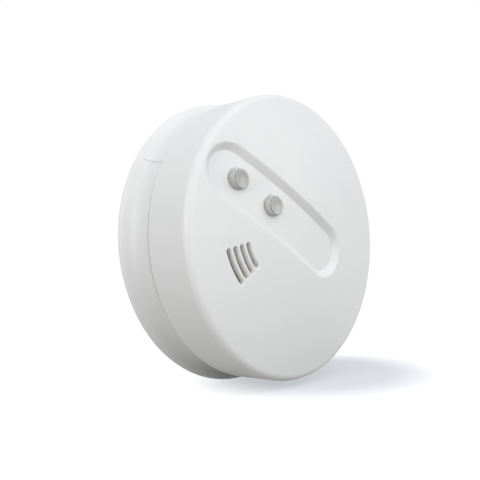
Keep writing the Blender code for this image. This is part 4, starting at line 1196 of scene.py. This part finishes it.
# %% Floor
def seen_by_eye(start):
    """1 for what the camera sees, straight or in a mirror or through glass, and 0 for bounced light."""
    names = ("Is Camera Ray", "Is Glossy Ray", "Is Transmission Ray")
    rays = [start.node("ShaderNodeLightPath", output=name) for name in names]
    return rays[0] + rays[1] + rays[2]


FLOOR_SIZE = 8.0
FLOOR_PAPER = (0.27, 0.28, 0.295)
FLOOR_BOUNCE = (0.30, 0.295, 0.26)
# Near the detector the glow is weaker in a fixed round patch, bluish grey: a painted shadow.
PAINTED_SHADOW_GLOW = (0.485, 0.50, 0.525)
PAINTED_SHADOW_PLACE = (24 * MM, -22 * MM, 0)
PAINTED_SHADOW_REACH = (24 * MM, 64 * MM)

floor_height = cad_box[0].z
bpy.ops.object.select_all(action='DESELECT')
bpy.ops.mesh.primitive_plane_add(size=FLOOR_SIZE, location=(0, 0, floor_height))
floor = bpy.context.active_object
floor.name = "floor"

white_floor, start = new_finish("white_floor")
place = place_on(start)
seen = seen_by_eye(start)
from_painted_shadow = place.node("ShaderNodeVectorMath", {"operation": 'DISTANCE'}, {0: place, 1: PAINTED_SHADOW_PLACE},
                 output="Value")
# Glow for the eye, weaker in the patch of painted shadow beside the detector.
glow = blend(seen, (0, 0, 0), blend(ramp(from_painted_shadow, *PAINTED_SHADOW_REACH), PAINTED_SHADOW_GLOW, (1, 1, 1)))
lit = start.node("ShaderNodeBsdfDiffuse", None, {"Color": blend(seen, FLOOR_BOUNCE, FLOOR_PAPER)})
shine = start.node("ShaderNodeEmission", None, {"Color": glow})
surface = start.node("ShaderNodeAddShader", None, {0: lit, 1: shine})
floor_end = white_floor.node_tree.nodes["Material Output"].inputs["Surface"]
white_floor.node_tree.links.new(surface.output, floor_end)
floor.data.materials.append(white_floor)
print("floor at", round(floor_height / MM, 1), "mm")

# %% World
AMBIENT = (0.975, 0.988, 1.0, 1)
AMBIENT_STRENGTH = 0.54

world = bpy.data.worlds.new("studio")
bpy.context.scene.world = world
world.use_nodes = True
start = Wire(world.node_tree)
room = start.node("ShaderNodeBackground", None, {"Color": AMBIENT, "Strength": AMBIENT_STRENGTH})
paper = start.node("ShaderNodeBackground", None, {"Color": (1, 1, 1, 1), "Strength": 1.0})
surface = start.node("ShaderNodeMixShader", None, {0: seen_by_eye(start), 1: room, 2: paper})
world_end = world.node_tree.nodes["World Output"].inputs["Surface"]
world.node_tree.links.new(surface.output, world_end)
print("world light", AMBIENT_STRENGTH)


# %% Lamps
def softbox(name, place, size, power, colour):
    """Square lamp that points at the detector."""
    bpy.ops.object.select_all(action='DESELECT')
    turn = (-Vector(place)).to_track_quat('-Z', 'Y').to_euler()
    bpy.ops.object.light_add(type='AREA', location=place, rotation=turn)
    lamp = bpy.context.active_object
    lamp.name = name
    lamp.data.size = size
    lamp.data.energy = power
    lamp.data.color = colour
    print(name, power, "W,", round(Vector(place).length, 2), "m away")


softbox("left_lamp", (-0.95, -0.1, 0.2), 0.4, 3.05, (1.0, 0.995, 0.985))
softbox("front_lamp", (-0.1, -1.0, 0.16), 0.4, 2.0, (0.985, 0.99, 1.0))
softbox("right_lamp", (0.65, -0.75, 0.3), 0.5, 1.7, (0.97, 0.985, 1.0))
softbox("upper_left_lamp", (-0.5, -0.6, 0.65), 0.5, 1.1, (0.985, 0.99, 1.0))
softbox("upper_front_lamp", (0.1, -0.6, 0.8), 0.5, 1.5, (0.98, 0.99, 1.0))

# %% [markdown]
# ## View
# The view is left plain, so that a colour shows about as it is written.

# %% View
bpy.context.scene.view_settings.view_transform = 'Standard'
